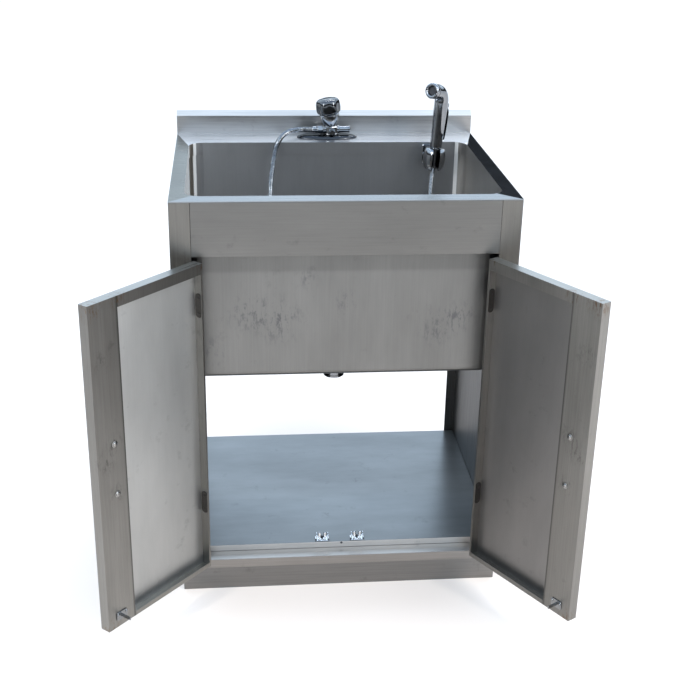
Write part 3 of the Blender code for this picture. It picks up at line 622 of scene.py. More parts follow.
def sky():
    """A sky that the steel reflects, dark near the ground, behind a plain white backdrop for the camera."""
    world = bpy.data.worlds.new("studio")
    bpy.context.scene.world = world
    world.use_nodes = True
    tree = world.node_tree
    link = tree.links.new
    back = tree.nodes["Background"]
    source = tree.nodes.new("ShaderNodeTexCoord")
    split = tree.nodes.new("ShaderNodeSeparateXYZ")
    ramp = tree.nodes.new("ShaderNodeValToRGB")
    link(source.outputs["Generated"], split.inputs["Vector"])
    link(split.outputs["Z"], ramp.inputs["Fac"])
    stops = [
        (0.00, (0.020, 0.021, 0.023)),
        (0.17, (0.035, 0.037, 0.040)),
        (0.26, (0.50, 0.60, 0.70)),
        (0.36, (0.78, 0.95, 1.14)),
        (0.60, (0.66, 0.82, 1.00)),
        (1.00, (0.45, 0.60, 0.85)),
    ]
    fill(ramp.color_ramp, stops)
    link(ramp.outputs["Color"], back.inputs["Color"])
    back.inputs["Strength"].default_value = SKY_STRENGTH
    backdrop = tree.nodes.new("ShaderNodeBackground")
    backdrop.inputs["Color"].default_value = (1.0, 1.0, 1.0, 1.0)
    seen = tree.nodes.new("ShaderNodeLightPath")
    either = tree.nodes.new("ShaderNodeMixShader")
    link(seen.outputs["Is Camera Ray"], either.inputs["Fac"])
    link(back.outputs["Background"], either.inputs[1])
    link(backdrop.outputs["Background"], either.inputs[2])
    link(either.outputs["Shader"], tree.nodes["World Output"].inputs["Surface"])


def lights():
    area_light("key", (2.4, -1.8, 3.0), (0, 0.2, 0.5), (1.8, 1.8), 52, (1.0, 0.98, 0.96))
    area_light("fill", (-2.4, -2.4, 2.6), (0, 0.2, 0.5), (2.0, 2.0), 30, (0.94, 0.97, 1.0))
    area_light("left_strip", (-1.7, -1.5, 1.7), (0, 0.3, 0.8), (0.10, 1.6), 16, (1.0, 1.0, 1.0))
    area_light("right_strip", (1.6, -1.7, 1.5), (0.1, 0.3, 0.8), (0.08, 1.4), 14, (1.0, 1.0, 1.0))
    area_light("top_strip", (0.4, 1.5, 2.4), (0.1, 0.4, 0.8), (1.6, 0.10), 16, (1.0, 1.0, 1.0))


def camera():
    """The photograph's viewing angle."""
    data = bpy.data.cameras.new("photo_view")
    data.sensor_width = 36.0
    data.lens = 62.16
    data.clip_end = 200.0
    view = bpy.data.objects.new("photo_view", data)
    bpy.context.scene.collection.objects.link(view)
    yaw, pitch, roll = (math.radians(a) for a in (6.07, 23.28, 1.25))
    ahead = Vector(
        (math.sin(yaw) * math.cos(pitch), math.cos(yaw) * math.cos(pitch), -math.sin(pitch))
    )
    right = Vector((math.cos(yaw), -math.sin(yaw), 0))
    up = right.cross(ahead)
    level_right = right * math.cos(roll) + up * math.sin(roll)
    level_up = up * math.cos(roll) - right * math.sin(roll)
    turn = Matrix((level_right, level_up, -ahead)).transposed().to_4x4()
    view.matrix_world = shifted(-0.2072, -2.0440, 1.3894) @ turn
    bpy.context.scene.camera = view
    bpy.context.scene.view_settings.view_transform = "Standard"


# ---- tap

def tap_casting():
    """The octagonal body with its shank, arms, front plug and the flared bonnet under the knob."""
    base = RIM_Z + 0.0076 - TAP.z
    column = [
        circle(0.0135, 8, base),
        circle(0.0152, 8, base + 0.0015),
        circle(0.0152, 8, base + 0.0160),
        circle(0.0140, 8, base + 0.0180),
    ]
    lean = Matrix.Rotation(TAP_LEAN, 4, "Y")
    left = quarter_turn("Y", -1)
    right = quarter_turn("Y")
    front = shifted(0, 0, -0.003) @ quarter_turn("X")
    bonnet = [
        (0.0135, 0.0020), (0.0135, 0.0100), (0.0150, 0.0128), (0.0182, 0.0190),
        (0.0203, 0.0245), (0.0208, 0.0285), (0.0206, 0.0322), (0.0196, 0.0336),
        (0.0060, 0.0340), (0.0040, 0.0345), (0.0040, 0.0390),
    ]
    shank = [(0.0100, RIM_Z - 0.032 - TAP.z), (0.0100, base + 0.004)]
    left_arm = [(0.0082, 0.004), (0.0082, 0.0150), (0.0090, 0.0158), (0.0090, 0.0176), (0.0078, 0.0185)]
    right_arm = [
        (0.0082, 0.004), (0.0082, 0.0152), (0.0070, 0.0166), (0.0066, 0.0200),
        (0.0066, 0.0345), (0.0072, 0.0352), (0.0072, 0.0378), (0.0050, 0.0394),
    ]
    plug = [hexagon(0.0056, height, 0.0062) for height in (0.0150, 0.0200)]
    plug.append(hexagon(0.0050, 0.0210, 0.0054))
    collar = [(0.0074, 0.004), (0.0074, 0.0148), (0.0066, 0.0156)]
    body = solid(
        "tap_casting",
        [
            column,
            turned(shank),
            moved(turned(bonnet, 96), lean),
            moved(turned(left_arm), left),
            moved(turned(right_arm), right),
            moved(turned(collar), front),
            moved(plug, front),
        ],
        28,
    )
    place(body, chrome("tap_casting_chrome"), TAP_FRAME, "cabinet", "tap_body")


def tap_plate():
    """The oval cover plate, domed, with a rolled outer edge and the shank's hole."""
    low = RIM_Z + GAP - TAP.z
    steps = (
        (0.990, 0.0000), (1.000, 0.0006), (1.000, 0.0014), (0.985, 0.0022),
        (0.950, 0.0036), (0.900, 0.0049), (0.820, 0.0060), (0.720, 0.0066),
        (0.620, 0.0069), (0.500, 0.0070),
    )
    rings = []
    for spread, height in steps:
        ring = [(0.063 * x - 0.0095, 0.0225 * y, low + height) for x, y, _ in circle(spread, 96, 0)]
        rings.append(ring)
    for height in (0.0070, 0.0):
        rings.append(circle(0.0103, 96, low + height))
    plate = solid("tap_cover_plate", [rings], closed=True)
    # Painted shade: the plate's chrome is made far darker than the tap body's, for the dark surroundings it
    # reflects.
    skin = chrome("tap_plate_chrome", (0.05, 0.052, 0.056))
    place(plate, skin, TAP_FRAME, "cabinet", "tap_base_plate")


def tap_nuts():
    """The lock nut under the deck, and the union nut that holds the hose to the left arm."""
    high = RIM_Z - TOP_DEPTH - TAP.z
    sizes = ((0.0150, -0.0080), (0.0158, -0.0072), (0.0158, -0.0008), (0.0150, 0))
    rings = [hexagon(0.0143, high + height, largest) for largest, height in sizes]
    rings += [circle(0.0104, 72, high), circle(0.0104, 72, high - 0.0080)]
    nut = solid("tap_lock_nut", [rings], 25, closed=True)
    brass = chrome("tap_lock_nut_brass", (0.62, 0.52, 0.30), 0.25)
    place(nut, brass, TAP_FRAME, "cabinet", "tap_backnut")

    sizes = ((0.0080, 0.0188), (0.0089, 0.0196), (0.0089, 0.0284), (0.0080, 0.0292))
    rings = [hexagon(0.0078, height, largest) for largest, height in sizes]
    collar = [
        (0.0068, 0.0300), (0.0070, 0.0306), (0.0070, 0.0330), (0.0064, 0.0338),
        (0.0062, 0.0392), (0.0058, 0.0400),
    ]
    rings += turned(collar, 72)
    nut = solid("tap_hose_union", [rings], 25)
    turn = TAP_FRAME @ quarter_turn("Y", -1)
    place(nut, chrome("tap_union_chrome"), turn, "cabinet", "tap_hose_nut")


def tap_knob():
    """The six-lobed hand knob with its domed cap."""
    steps = (
        (0.0120, 0.0360, 0.0), (0.0195, 0.0350, 0.0002), (0.0222, 0.0352, 0.0006),
        (0.0238, 0.0362, 0.0012), (0.0248, 0.0380, 0.0020), (0.0253, 0.0410, 0.0026),
        (0.0256, 0.0450, 0.0028), (0.0256, 0.0500, 0.0026), (0.0252, 0.0545, 0.0022),
        (0.0243, 0.0582, 0.0016), (0.0228, 0.0610, 0.0010), (0.0206, 0.0629, 0.0004),
        (0.0180, 0.0639, 0.0), (0.0157, 0.0643, 0.0), (0.0150, 0.0638, 0.0), (0.0144, 0.0644, 0.0),
        (0.0105, 0.0650, 0.0), (0.0050, 0.0653, 0.0),
    )
    rings = [circle(radius, 144, height, flute) for radius, height, flute in steps]
    knob = solid("tap_hand_knob", [rings])
    turn = TAP_FRAME @ Matrix.Rotation(TAP_LEAN, 4, "Y")
    # Painted shade: the knob's chrome is made darker than the tap body's, for the dark surroundings it
    # reflects.
    place(knob, chrome("knob_chrome", (0.105, 0.108, 0.112)), turn, "tap_knob", "tap_knob")


# ---- hand spray

def spray_frame():
    """Z runs up the grip and X points to the trigger, away from the nozzle."""
    across = SPRAY_UP.cross(-SPRAY_AIM).normalized()
    back = across.cross(SPRAY_UP)
    turn = Matrix((back, across, SPRAY_UP)).transposed()
    return Matrix.Translation(SPRAY_FOOT) @ turn.to_4x4(), turn.transposed() @ SPRAY_AIM


def spray_grip(matrix, aim_here):
    """The waisted grip that bends over into the head, with the ears and pin of the trigger."""
    bend = 0.024
    start = GRIP_TALL + 0.0015
    full = math.atan2(-aim_here.x, aim_here.z)
    heights = (0, 0.0012, 0.004, 0.010, 0.020, 0.035, 0.050, 0.065, 0.080)
    path = [(0, 0, height) for height in heights]
    radii = [0.0108, 0.0120, 0.0125, 0.0125, 0.0124, 0.0126, 0.0130, 0.0136, 0.0141]
    steps = 18
    for i in range(steps + 1):
        angle = full * i / steps
        path.append((bend * (math.cos(angle) - 1), 0, start + bend * math.sin(angle)))
        radii.append(0.0142 + 0.0003 * i / steps)
    elbow_end = Vector(path[-1]) + aim_here * 0.0095
    path.append(Vector(path[-1]) + aim_here * 0.004)
    radii.append(0.0143)
    path.append(elbow_end)
    radii.append(0.0146)
    shells = [swept(path, radii, 56)]
    for level in (-0.0058, 0.0058):
        ear = moved(slab(0.0062, 0.0048, -0.0012, 0.0012, 0.0040), quarter_turn("X"))
        shells.append(moved(ear, shifted(LUG.x - 0.0025, level, LUG.z)))
    pin = turned([(0.0016, -0.0076), (0.0019, -0.0073), (0.0019, 0.0073), (0.0016, 0.0076)], 32)
    shells.append(moved(pin, Matrix.Translation(LUG) @ quarter_turn("X")))
    grip = solid("spray_grip", shells, 35)
    place(grip, chrome("spray_grip_chrome"), matrix, "hand_spray", "spray_body")
    return elbow_end


def spray_head(matrix, aim_here, elbow_end):
    """The nozzle's cap with its rolled rim, and the dark rose with rings of jets inside it."""
    turn = aim_here.to_track_quat("Z", "Y").to_matrix().to_4x4()
    facing = matrix @ Matrix.Translation(elbow_end + aim_here * 0.0003) @ turn
    cap = [
        (0.0128, 0.0000), (0.0143, 0.0006), (0.0152, 0.0022), (0.0157, 0.0045),
        (0.0158, 0.0075), (0.0156, 0.0097), (0.0149, 0.0112), (0.0138, 0.0120),
        (0.0118, 0.0121), (0.0100, 0.0114), (0.0092, 0.0100), (0.0088, 0.0070),
        (0.0084, 0.0040),
    ]
    ring = solid("spray_cap", [turned(cap, 96)])
    place(ring, chrome("spray_cap_chrome"), facing, "hand_spray", "spray_nozzle")
    shells = [turned([(0.0086, 0.0043), (0.0086, 0.0064), (0.0078, 0.0071)], 64)]
    for reach, count in ((0.0022, 5), (0.0052, 11)):
        for i in range(count):
            angle = 2 * math.pi * i / count
            spot = shifted(*polar(reach, angle))
            jet = turned([(0.0007, 0.0068), (0.0007, 0.0077), (0.0004, 0.0079)], 12)
            shells.append(moved(jet, spot))
    rose = solid("spray_jets", shells)
    place(rose, rubber("spray_jet_rubber"), facing, "hand_spray", "spray_rose", slot="seal")


def spray_foot(matrix):
    """The cone nut that rests in the holder, ribbed at its top."""
    rings = [
        circle(0.0096, 96, -0.0003),
        circle(0.0100, 96, -0.0008, 0.0004, 24),
        circle(0.0099, 96, -0.0055, 0.0004, 24),
    ]
    cone = [(0.0094, -0.0062), (0.0086, -0.018), (0.0076, -0.034), (0.0072, -0.039), (0.0064, -0.042)]
    rings += turned(cone, 96)
    nut = solid("spray_cone_nut", [rings])
    place(nut, chrome("spray_nut_chrome"), matrix, "hand_spray", "spray_hose_nut")


def spray_trigger(matrix):
    """The long thumb lever down the back of the grip: an eye on the pin and a cupped blade."""
    sections = (
        (0.0035, 0.0010, 0.0018, 0.0030),
        (0.0015, 0.0018, 0.0026, 0.0040),
        (-0.0030, 0.0024, 0.0024, 0.0050),
        (-0.0080, 0.0033, 0.0020, 0.0078),
        (-0.0140, 0.0037, 0.0018, 0.0092),
        (-0.0260, 0.0035, 0.0016, 0.0097),
        (-0.0400, 0.0030, 0.0015, 0.0095),
        (-0.0540, 0.0026, 0.0014, 0.0088),
        (-0.0640, 0.0027, 0.0014, 0.0076),
        (-0.0700, 0.0036, 0.0013, 0.0056),
        (-0.0726, 0.0044, 0.0009, 0.0032),
    )
    rings = []
    for height, out, thick, wide in sections:
        ring = []
        for i in range(32):
            angle = 2 * math.pi * i / 32
            y = wide * math.cos(angle)
            cup = 0.0022 * (y / 0.0097) ** 2
            ring.append((out - cup + thick * math.sin(angle), y, height))
        rings.append(ring)
    lever = solid("spray_thumb_lever", [rings])
    spot = matrix @ Matrix.Translation(LUG)
    place(lever, chrome("spray_lever_chrome"), spot, "spray_lever", "spray_lever")


def spray_holder():
    """The forked cup on the bowl's back wall, barrel shaped, with its arm, wall plate and two screws."""
    slot = 0.0075
    rings = []
    barrel = (
        (0.0160, -0.0450, 0.0078), (0.0178, -0.0440, 0.0078), (0.0200, -0.0410, 0.0079),
        (0.0218, -0.0350, 0.0082), (0.0229, -0.0280, 0.0086), (0.0233, -0.0200, 0.0091),
        (0.0229, -0.0120, 0.0097), (0.0217, -0.0060, 0.0101), (0.0198, -0.0022, 0.0105),
        (0.0176, -0.0010, 0.0108),
    )
    for reach, height, bore in barrel:
        ring = []
        edge = math.acos(slot / reach)
        for i in range(61):
            angle = -edge + (math.pi + 2 * edge) * i / 60
            ring.append(polar(reach, angle, height))
        edge = math.acos(slot / bore)
        for i in range(41):
            angle = math.pi + edge - (math.pi + 2 * edge) * i / 40
            ring.append(polar(bore, angle, height))
        rings.append(ring)
    cup = solid("spray_cup", [rings], 35)
    turn = Matrix.Translation(SPRAY_FOOT) @ Matrix.Rotation(SPRAY_LEAN, 4, "Y")
    place(cup, chrome("spray_cup_chrome"), turn, "cabinet", "spray_holder")

    wall = FRONT + 0.428 - GAP
    middle = Vector((SPRAY_FOOT.x - 0.0045, 0, RIM_Z - 0.0245))
    upright = quarter_turn("X")
    spot = shifted(middle.x, wall, middle.z)
    shells = [moved(slab(0.0185, 0.0205, 0.0, 0.0028, 0.005, 0.0008), spot @ upright)]
    arm = moved(slab(0.0100, 0.0120, 0.002, wall - SPRAY_FOOT.y - 0.017, 0.004, 0.0006), spot @ upright)
    shells.append(arm)
    for side in (-1, 1):
        head = turned([(0.0034, 0.0024), (0.0034, 0.0034), (0.0026, 0.0044), (0.0010, 0.0047)], 32)
        shells.append(moved(head, spot @ shifted(side * 0.0145, 0, 0.0) @ upright))
    plate = solid("spray_wall_plate", shells, 35)
    place(plate, chrome("spray_plate_chrome"), Matrix(), "cabinet")


def hand_spray():
    """The spray's pieces in its own leaning frame, and its holder."""
    matrix, aim_here = spray_frame()
    elbow_end = spray_grip(matrix, aim_here)
    spray_head(matrix, aim_here, elbow_end)
    spray_foot(matrix)
    spray_trigger(matrix)
    spray_holder()


# ---- door fittings

def door_frame(word):
    """The door's own frame: its leaf runs along -side X from the hinge, with Y from outside to inside."""
    side = SIDES[word]
    spot = shifted(side * HINGE_X, HINGE_Y, 0)
    return spot @ Matrix.Rotation(side * OPEN[word], 4, "Z")


def door_handle(word):
    """A bow of polished bar with flared feet."""
    x = -SIDES[word] * HANDLE_U
    foot = 0.0047
    points = []
    for level in (-1, 1):
        z = HANDLE_Z + level * HANDLE_HALF
        leg = [(x, foot, z), (x, foot - 0.001, z), (x, foot - 0.003, z), (x, foot - 0.020, z)]
        for i in range(1, 13):
            angle = math.pi / 2 * i / 12
            y = foot - 0.030 + 0.010 * (1 - math.sin(angle))
            leg.append((x, y, z - level * 0.010 * (1 - math.cos(angle))))
        points += leg if level < 0 else list(reversed(leg))
    radii = [0.0048] * len(points)
    for i, radius in enumerate((0.0060, 0.0060, 0.0050)):
        radii[i] = radius
        radii[-1 - i] = radius
    bar = solid(word + "_bow_handle", [swept(points, radii, 36)])
    skin = chrome(word + "_handle_chrome", (0.40, 0.405, 0.41), 0.16)
    place(bar, skin, door_frame(word), word + "_door", word + "_door_handle")


def handle_screw(word, level, mark):
    """A pan head on a pressed washer, with a dark cross of painted shade for its cross recess, and its
    shank through the stile.
    """
    shank = [(0.0021, -0.018), (0.0021, 0.0002)]
    washer = [(0.0062, 0.0002), (0.0062, 0.0008), (0.0052, 0.0011)]
    head = [(0.0046, 0.0006), (0.0046, 0.0016), (0.0042, 0.0024), (0.0032, 0.0030), (0.0014, 0.0033)]
    shells = [turned(shank, 24), turned(washer, 40), turned(head, 40)]
    screw = solid(f"{word}_handle_screw_{mark}_head", shells, 30)
    spot = shifted(-SIDES[word] * HANDLE_U, INNER_FACE, HANDLE_Z + level * HANDLE_HALF)
    turn = door_frame(word) @ spot @ quarter_turn("X", -1)
    skin = chrome(f"{word}_{mark}_screw_zinc", (0.34, 0.335, 0.32), 0.20)
    place(screw, skin, turn, word + "_door", f"{word}_handle_screw_{mark}")
    # Painted shade: a dark cross on the head stands for the shade in its recess.
    recess = []
    for angle in (0, math.pi / 2):
        bar = slab(0.0020, 0.0004, 0.0026, 0.00335, 0.0002, 0.00005)
        recess.append(moved(bar, Matrix.Rotation(angle, 4, "Z")))
    cross = solid(f"{word}_handle_screw_{mark}_recess", recess, 30)
    place(cross, rubber(f"{word}_{mark}_recess_dark"), turn, word + "_door")


def door_strike(word):
    """The strike: a plate with two screws, and the tongue that runs in between the rollers."""
    side = SIDES[word]
    upright = quarter_turn("X", -1)
    spot = shifted(-side * STRIKE_U, INNER_FACE, SHELF_Z + 0.010)
    shells = [moved(slab(0.0130, 0.0080, 0, 0.0016, 0.0035, 0.0003), spot @ upright)]
    tongue = slab(0.0011, 0.0030, 0.0010, 0.0215, 0.0004, 0.0003)
    shells.append(moved(tongue, shifted(0, 0, -0.001) @ spot @ upright))
    for shift in (-0.0095, 0.0095):
        head = turned([(0.0024, 0.0012), (0.0024, 0.0022), (0.0017, 0.0029), (0.0006, 0.0031)], 32)
        shells.append(moved(head, shifted(shift, 0, 0.003) @ spot @ upright))
    strike = solid(word + "_strike_plate", shells, 30)
    skin = chrome(word + "_strike_zinc", (0.26, 0.265, 0.27), 0.14)
    place(strike, skin, door_frame(word), word + "_door", word + "_door_strike")


def catch(word):
    """The roller catch: a base plate with slots and screws, two folded cheeks and two rollers, with dark
    discs of painted shade in its holes and the rollers' bores.
    """
    x = SIDES[word] * 0.035
    y = FRONT + 0.030 + 0.010
    low = SHELF_Z + GAP
    spot = shifted(x, y, low)
    shells = [moved(slab(0.0140, 0.0090, 0, 0.0015, 0.0035, 0.0003), shifted(0, 0.001, 0))]
    for side in (-1, 1):
        cheek = moved(slab(0.0066, 0.0070, -0.0008, 0.0008, 0.0050, 0.0002), quarter_turn("Y"))
        shells.append(moved(cheek, shifted(side * 0.0112, 0.001, 0.0072)))
        head = turned([(0.0022, 0.0013), (0.0022, 0.0022), (0.0015, 0.0028), (0.0005, 0.0030)], 24)
        shells.append(moved(head, shifted(0, side * 0.0052 + 0.001, 0)))
        rivet = turned([(0.0018, -0.0004), (0.0018, 0.0006), (0.0010, 0.0010)], 20)
        rivet = moved(rivet, quarter_turn("Y"))
        shells.append(moved(rivet, shifted(side * 0.0120, 0.001, 0.0080)))
    body = solid(word + "_catch_frame", shells, 30)
    zinc = (0.66, 0.67, 0.68)
    place(body, chrome(word + "_catch_zinc", zinc, 0.16), spot, "cabinet", word + "_catch_body")
    # Painted shade: dark discs stand for the shade in the catch's holes and between its rollers.
    recesses = []
    painted_shade_spots = (
        (-0.0128, -0.0052, 0.0011), (0.0128, -0.0052, 0.0011), (0, 0.0042, 0.0030),
        (0, -0.0048, 0.0012),
    )
    for x_shift, y_shift, radius in painted_shade_spots:
        disc = turned([(radius, 0.0012), (radius, 0.0032), (radius * 0.6, 0.0033)], 20)
        recesses.append(moved(disc, shifted(x_shift, y_shift + 0.001, 0)))
    dark = solid(word + "_catch_recesses", recesses, 30)
    place(dark, rubber(word + "_catch_recess_dark"), spot, "cabinet")
    profile = [
        (0.0015, 0.0018), (0.0015, 0.0042), (0.0024, 0.0046), (0.0029, 0.0052),
        (0.0030, 0.0062), (0.0030, 0.0145), (0.0028, 0.0155), (0.0021, 0.0162),
    ]
    for side, mark in ((-1, "left"), (1, "right")):
        name = f"{word}_catch_{mark}_roller"
        roller = solid(name + "_wheel", [turned(profile, 40)], 30)
        at = spot @ shifted(side * 0.0056, 0, 0)
        place(roller, chrome(name + "_zinc", zinc, 0.18), at, name, name)
        # Painted shade: a dark disc on the roller's top stands for the shade in its bore.
        hole = turned([(0.0016, 0.0150), (0.0016, 0.01635), (0.0012, 0.0164)], 24)
        bore = solid(name + "_bore", [hole])
        place(bore, rubber(name + "_bore_painted_shade"), at, name)


def hinge_plate(word, level):
    """The hinge's dark plate inside the door's hinge edge, with its two screw heads."""
    side = SIDES[word]
    spot = shifted(-side * 0.0033, 0.0150, HINGE_Z[level]) @ quarter_turn("Y", -side)
    shells = [moved(slab(0.0230, 0.0072, 0, 0.0012, 0.0068, 0.0003), spot)]
    for shift in (-0.0145, 0.0145):
        head = turned([(0.0030, 0.0008), (0.0030, 0.0015), (0.0018, 0.0020)], 24)
        shells.append(moved(head, spot @ shifted(shift, 0, 0)))
    plate = solid(f"{word}_{level}_hinge_plate", shells, 30)
    skin = chrome(f"{word}_{level}_hinge_dark", (0.07, 0.065, 0.06), 0.40)
    place(plate, skin, door_frame(word), word + "_door", slot="sheet")


def door_fittings():
    for word in SIDES:
        door_handle(word)
        handle_screw(word, -1, "low")
        handle_screw(word, 1, "high")
        door_strike(word)
        hinge_plate(word, "upper")
        hinge_plate(word, "lower")
        catch(word)


# ---- drain

def drain_top():
    """The strainer basket: its rim and cup, the lift knob in its middle, and dark discs of painted shade
    for the holes in its floor.
    """
    seat = BOWL_FLOOR - BOWL_FALL + 0.0006
    rim = seat + 0.0018
    spot = Matrix.Translation(DRAIN)
    profile = (
        (0.0012, -0.0120), (0.0204, -0.0118), (0.0206, -0.0004), (0.0300, 0.0),
        (0.0302, 0.0006), (0.0296, 0.0012), (0.0210, 0.0012), (0.0196, 0.0006),
        (0.0192, -0.0040), (0.0190, -0.0105), (0.0030, -0.0108), (0.0030, 0.0010),
        (0.0058, 0.0022), (0.0066, 0.0040), (0.0064, 0.0056), (0.0040, 0.0068), (0.0010, 0.0070),
    )
    rings = turned([(radius, rim + height) for radius, height in profile], 96)
    basket = solid("strainer_basket", [rings])
    place(basket, chrome("strainer_chrome"), spot, "drain_basket", "drain_basket")
    # Painted shade: dark discs on the basket's floor stand for its holes.
    holes = []
    for reach, count in ((0.0070, 8), (0.0115, 14), (0.0158, 20)):
        for i in range(count):
            angle = 2 * math.pi * i / count
            at = shifted(*polar(reach, angle))
            holes.append(moved(turned([(0.0011, rim - 0.0109), (0.0011, rim - 0.0104)], 12), at))
    dots = solid("strainer_holes", holes)
    place(dots, rubber("strainer_hole_painted_shade"), spot, "drain_basket")


# ---- CAD nodes

def paint_faces(node, skins, choose):
    """Several finishes on one folded piece: choose gives a face's finish from its place and facing."""
    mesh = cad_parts[node].data
    mesh.materials.clear()
    for skin in skins:
        mesh.materials.append(skin)
    for face in mesh.polygons:
        face.material_index = choose(face.center, face.normal)


def inside_steel(name, colour, rough=0.33, marks=0.15, grain=0.05, metal=1.0):
    """One finish of the bowl's inside."""
    name = f"bowl_{name}_steel"
    return brushed(name, colour, upright=True, rough=rough, marks=marks, grain=grain, metal=metal)


def sheet_looks():
    """The finishes of the cabinet, bowl and doors, and the rounding of their folds."""
    scuff = (0.09, 0.09, 0.095)
    front = FRONT + 0.035
    bowl_marks = (
        (-0.175, 0.575, 0.050, 0.9), (-0.120, 0.560, 0.060, 0.9), (0.175, 0.540, 0.045, 0.9),
        (0.215, 0.560, 0.040, 0.9), (0.003, 0.595, 0.030, 0.7), (-0.070, 0.640, 0.030, 0.6),
        (-0.240, 0.500, 0.035, 0.8),
    )
    bowl_spots = [((x, front, z), reach, scuff, strength) for x, z, reach, strength in bowl_marks]
    paint(["front_apron"], brushed("apron_steel", APRON, grain=0.06))
    post = brushed("post_steel", POST, upright=True)
    # Painted shade on the side panels' inward faces.
    inside_shade = brushed("inside_shade_steel", INSIDE_SHADE, upright=True, rough=0.40, metal=0.85)
    for side, node in ((-1, "side_panel_left"), (1, "side_panel_right")):
        paint_faces(node, [post, inside_shade], lambda at, way: int(way.x * side < -0.5))
    # Painted light: upward rail faces, and the shelf's edge faces, take the lighter ledge tone.
    rail = [brushed("rail_steel", RAIL), brushed("ledge_steel", LEDGE)]
    for node in ("base_front_rail", "base_rear_rail"):
        paint_faces(node, rail, lambda at, way: int(way.z > 0.5))
    shelf_marks = [
        ((0.060, 0.260, SHELF_Z), 0.016, scuff, 1.0),
        ((-0.020, 0.120, SHELF_Z), 0.014, scuff, 0.8),
        ((0.130, 0.350, SHELF_Z), 0.014, scuff, 0.8),
    ]
    shelf = brushed("shelf_steel", SHELF, rough=0.29, cloud=0.20, grain=0.02, spots=shelf_marks, metal=0.75)
    paint_faces("bottom_shelf", [shelf, rail[1]], lambda at, way: int(way.z < 0.5))
    plinth = [f"plinth_{side}" for side in ("front", "back", "left", "right")]
    paint(plinth, brushed("plinth_steel", PLINTH))
    paint(["rear_top_rail"], brushed("rear_rail_steel", POST))
    # Painted light and shade: copies of the top's one steel, lighter or darker by place and facing.
    top = [
        brushed("rim_steel", RIM, rough=0.28),
        brushed("deck_steel", DECK, rough=0.30),
        brushed("splash_steel", SPLASH, rough=0.32),
        brushed("right_rim_steel", RIGHT_RIM, rough=0.28, edge=0.12),
        brushed("left_rim_steel", LEFT_RIM, rough=0.28),
        brushed("splash_top_steel", SPLASH_TOP, rough=0.32),
    ]
    bowl = [
        brushed(
            "bowl_outer_steel",
            BOWL_OUTER,
            upright=True,
            rough=0.36,
            marks=0.20,
            cloud=0.12,
            grain=0.05,
            spots=bowl_spots,
            # Painted shadow: the apron's shadow as a darker band across the top of the bowl's front.
            shade=(0.654, 0.82),
        ),
        # Inside: a painted-shade back wall, a painted-light left wall, and painted dark and bright
        # reflection streaks on the back corners.
        inside_steel("inner", BOWL_INNER),
        inside_steel("back", BOWL_BACK, rough=0.36, marks=0.12, grain=0.02),
        inside_steel("left", BOWL_LEFT, metal=0.60),
        inside_steel("corner_reflection_dark", BOWL_CORNER_REFLECTION, rough=0.30),
        inside_steel("corner_highlight", BOWL_LEFT, rough=0.30, metal=0.55),
    ]
    paint_faces("sink_bowl", bowl, bowl_finish)
    paint_faces("sink_top", top + bowl[1:], top_finish)
    for word in SIDES:
        door_looks(word)
    panels = ["front_apron", "side_panel_left", "side_panel_right", "base_front_rail", "bottom_shelf"]
    for node in panels + plinth:
        soften(node, 0.0010)
    for word in SIDES:
        soften(word + "_door_tray", 0.0014)


def shelf_rivet():
    """A dark disc of painted shade for the hollow end of a blind rivet in the shelf's front edge, between
    the catches.
    """
    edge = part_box("bottom_shelf")[0].y
    rings = turned([(0.0024, -0.0004), (0.0024, 0.0003), (0.0012, 0.0006)], 24)
    rivet = solid("shelf_rivet", [rings])
    spot = shifted(0.003, edge, SHELF_Z - 0.0030) @ quarter_turn("X")
    place(rivet, rubber("shelf_rivet_painted_shade"), spot, "cabinet", slot="sheet")


def top_finish(at, way):
    """Rim 0, deck 1, backsplash 2, right rim 3, left rim 4, backsplash's folds 5, bowl's walls from 6;
    finishes 0 to 5 are one sheet's steel in tones of painted light and shade, 5 a painted highlight.
    """
    # The backsplash's lower fold, facing up and forward, takes the painted highlight of finish 5, as does
    # its top.
    fold = at.y > FRONT + 0.450 and way.y < -0.2 and way.z > 0.2
    if fold or at.z > RIM_Z + 0.040 and way.z > 0.7:
        return 5
    if at.z > RIM_Z + 0.001:
        return 2
    if at.z < RIM_Z - 0.002 and abs(at.x) < 0.295 and FRONT + 0.020 < at.y < FRONT + 0.440:
        return 5 + wall_finish(at.y > DRAIN.y, way)
    if at.y > FRONT + 0.430:
        return 1
    if abs(at.x) > 0.285:
        return 3 if at.x > 0 else 4
    return 0


def wall_finish(rear, way):
    """Right and front walls 1, back wall 2 in painted shade, left wall 3 in painted light; painted dark
    reflection streaks 4 and painted highlight streaks 5 on the folds at the back.
    """
    turn = math.degrees(math.atan2(abs(way.x), -way.y))
    if rear and way.x > 0.05:
        if turn > 75:
            return 3
        return 4 if turn > 50 else 5 if turn > 25 else 2
    if rear and way.x < -0.05:
        return 2 if turn < 18 else 5 if turn < 30 else 1
    if way.y < -0.7:
        return 2
    return 3 if way.x > 0.7 else 1


def bowl_finish(at, way):
    """Outside 0 and floor 1; the walls and upright folds inside as wall_finish says."""
    if way.z <= 0.3 and way.dot((DRAIN - at).to_2d().to_3d()) <= 0:
        return 0
    if way.z > 0.5:
        return 1
    return wall_finish(at.y > DRAIN.y, way)


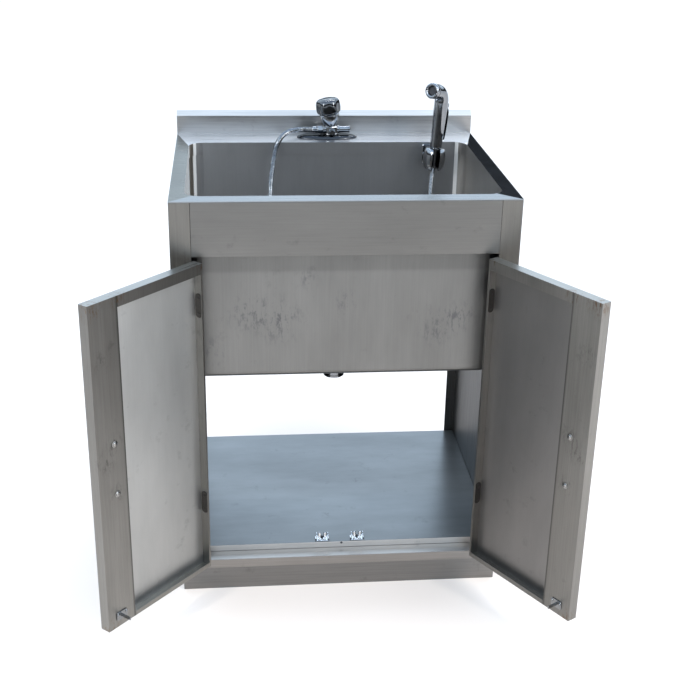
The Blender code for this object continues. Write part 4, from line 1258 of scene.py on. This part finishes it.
def door_looks(word):
    """The tray's folded faces and outside are brushed, its upward folds lighter as a painted highlight; the
    skin inside the recess keeps its mill finish, its tone painted light, lighter on the left door than on
    the right.
    """
    frame_here = door_frame(word)
    side = SIDES[word]
    turn = -side * OPEN[word]
    brown = (0.13, 0.065, 0.025)
    dirt = (0.075, 0.070, 0.065)
    stains = (
        (0.2640, 0.6890, 0.034, brown, 1.0),
        (0.2060, 0.6890, 0.026, brown, 0.9),
        (0.2640, 0.0740, 0.026, brown, 0.9),
        (0.0100, 0.6890, 0.022, brown, 0.9),
        (HANDLE_U, HANDLE_Z + HANDLE_HALF, 0.024, dirt, 0.9),
        (HANDLE_U, HANDLE_Z - HANDLE_HALF, 0.024, dirt, 0.9),
        (0.2500, 0.4050, 0.030, dirt, 0.8),
        (0.2480, 0.5900, 0.030, dirt, 0.5),
    )
    spots = []
    for u, z, reach, stain, strength in stains:
        middle = frame_here @ Vector((-side * u, INNER_FACE + 0.0002, z))
        spots.append((tuple(middle), reach, stain, strength))
    hinge_line = (Matrix.Rotation(turn, 3, "Z") @ frame_here.translation).x
    outer = brushed(
        word + "_door_steel",
        DOOR,
        turn,
        upright=True,
        spots=spots,
        # Painted light and shade from foot to top.
        fade=DOOR_FADE[word],
        # Painted shadow: a dark line along the stile's edge, at the step down into the recess.
        line=(hinge_line - side * STILE_EDGE, 0.0010, 0.40),
    )
    # Inner panel: its tone is painted light, lighter on the left door, darker on the right.
    inner = brushed(
        word + "_panel_steel",
        DOOR_PANEL[word],
        turn,
        upright=True,
        rough=0.42,
        marks=0.20,
        cloud=0.09,
        grain=0.02,
        # Painted light and shade from foot to top.
        fade=PANEL_FADE[word],
    )
    # Painted highlight: the upward-facing folds are the door's steel made 1.45 times lighter.
    fold = brushed(word + "_door_fold_highlight_steel", tinted(DOOR, 1.45), turn, rough=0.30, spots=spots)
    # Outside skin: the same painted light and shade from foot to top.
    skin = brushed(word + "_door_skin_steel", DOOR, turn, upright=True, fade=DOOR_FADE[word])
    back = frame_here.inverted()

    def choose(at, way):
        spot = back @ at
        looks = back.to_3x3() @ way
        if looks.y > 0.9 and spot.y < 0.010:
            return 1
        if looks.z > 0.7:
            return 2
        return 3 if looks.y < -0.9 else 0

    paint_faces(word + "_door_tray", [outer, inner, fold, skin], choose)
    leaves = [f"{word}_{level}_hinge_{part}_leaf" for level in HINGE_Z for part in ("frame", "door")]
    paint(leaves, brushed(word + "_hinge_steel", (0.10, 0.10, 0.10), turn, upright=True))


def drain_looks():
    bright = ["drain_flange", "drain_locknut", "drain_slip_nut", "drain_tailpiece"]
    paint(bright, chrome("drain_chrome", rough=0.14))
    paint(["drain_gasket"], rubber("drain_rubber"))


camera()
sky()
lights()
floor()
tap_casting()
tap_plate()
tap_nuts()
tap_knob()
hand_spray()
hose()
door_fittings()
drain_top()
shelf_rivet()
sheet_looks()
drain_looks()
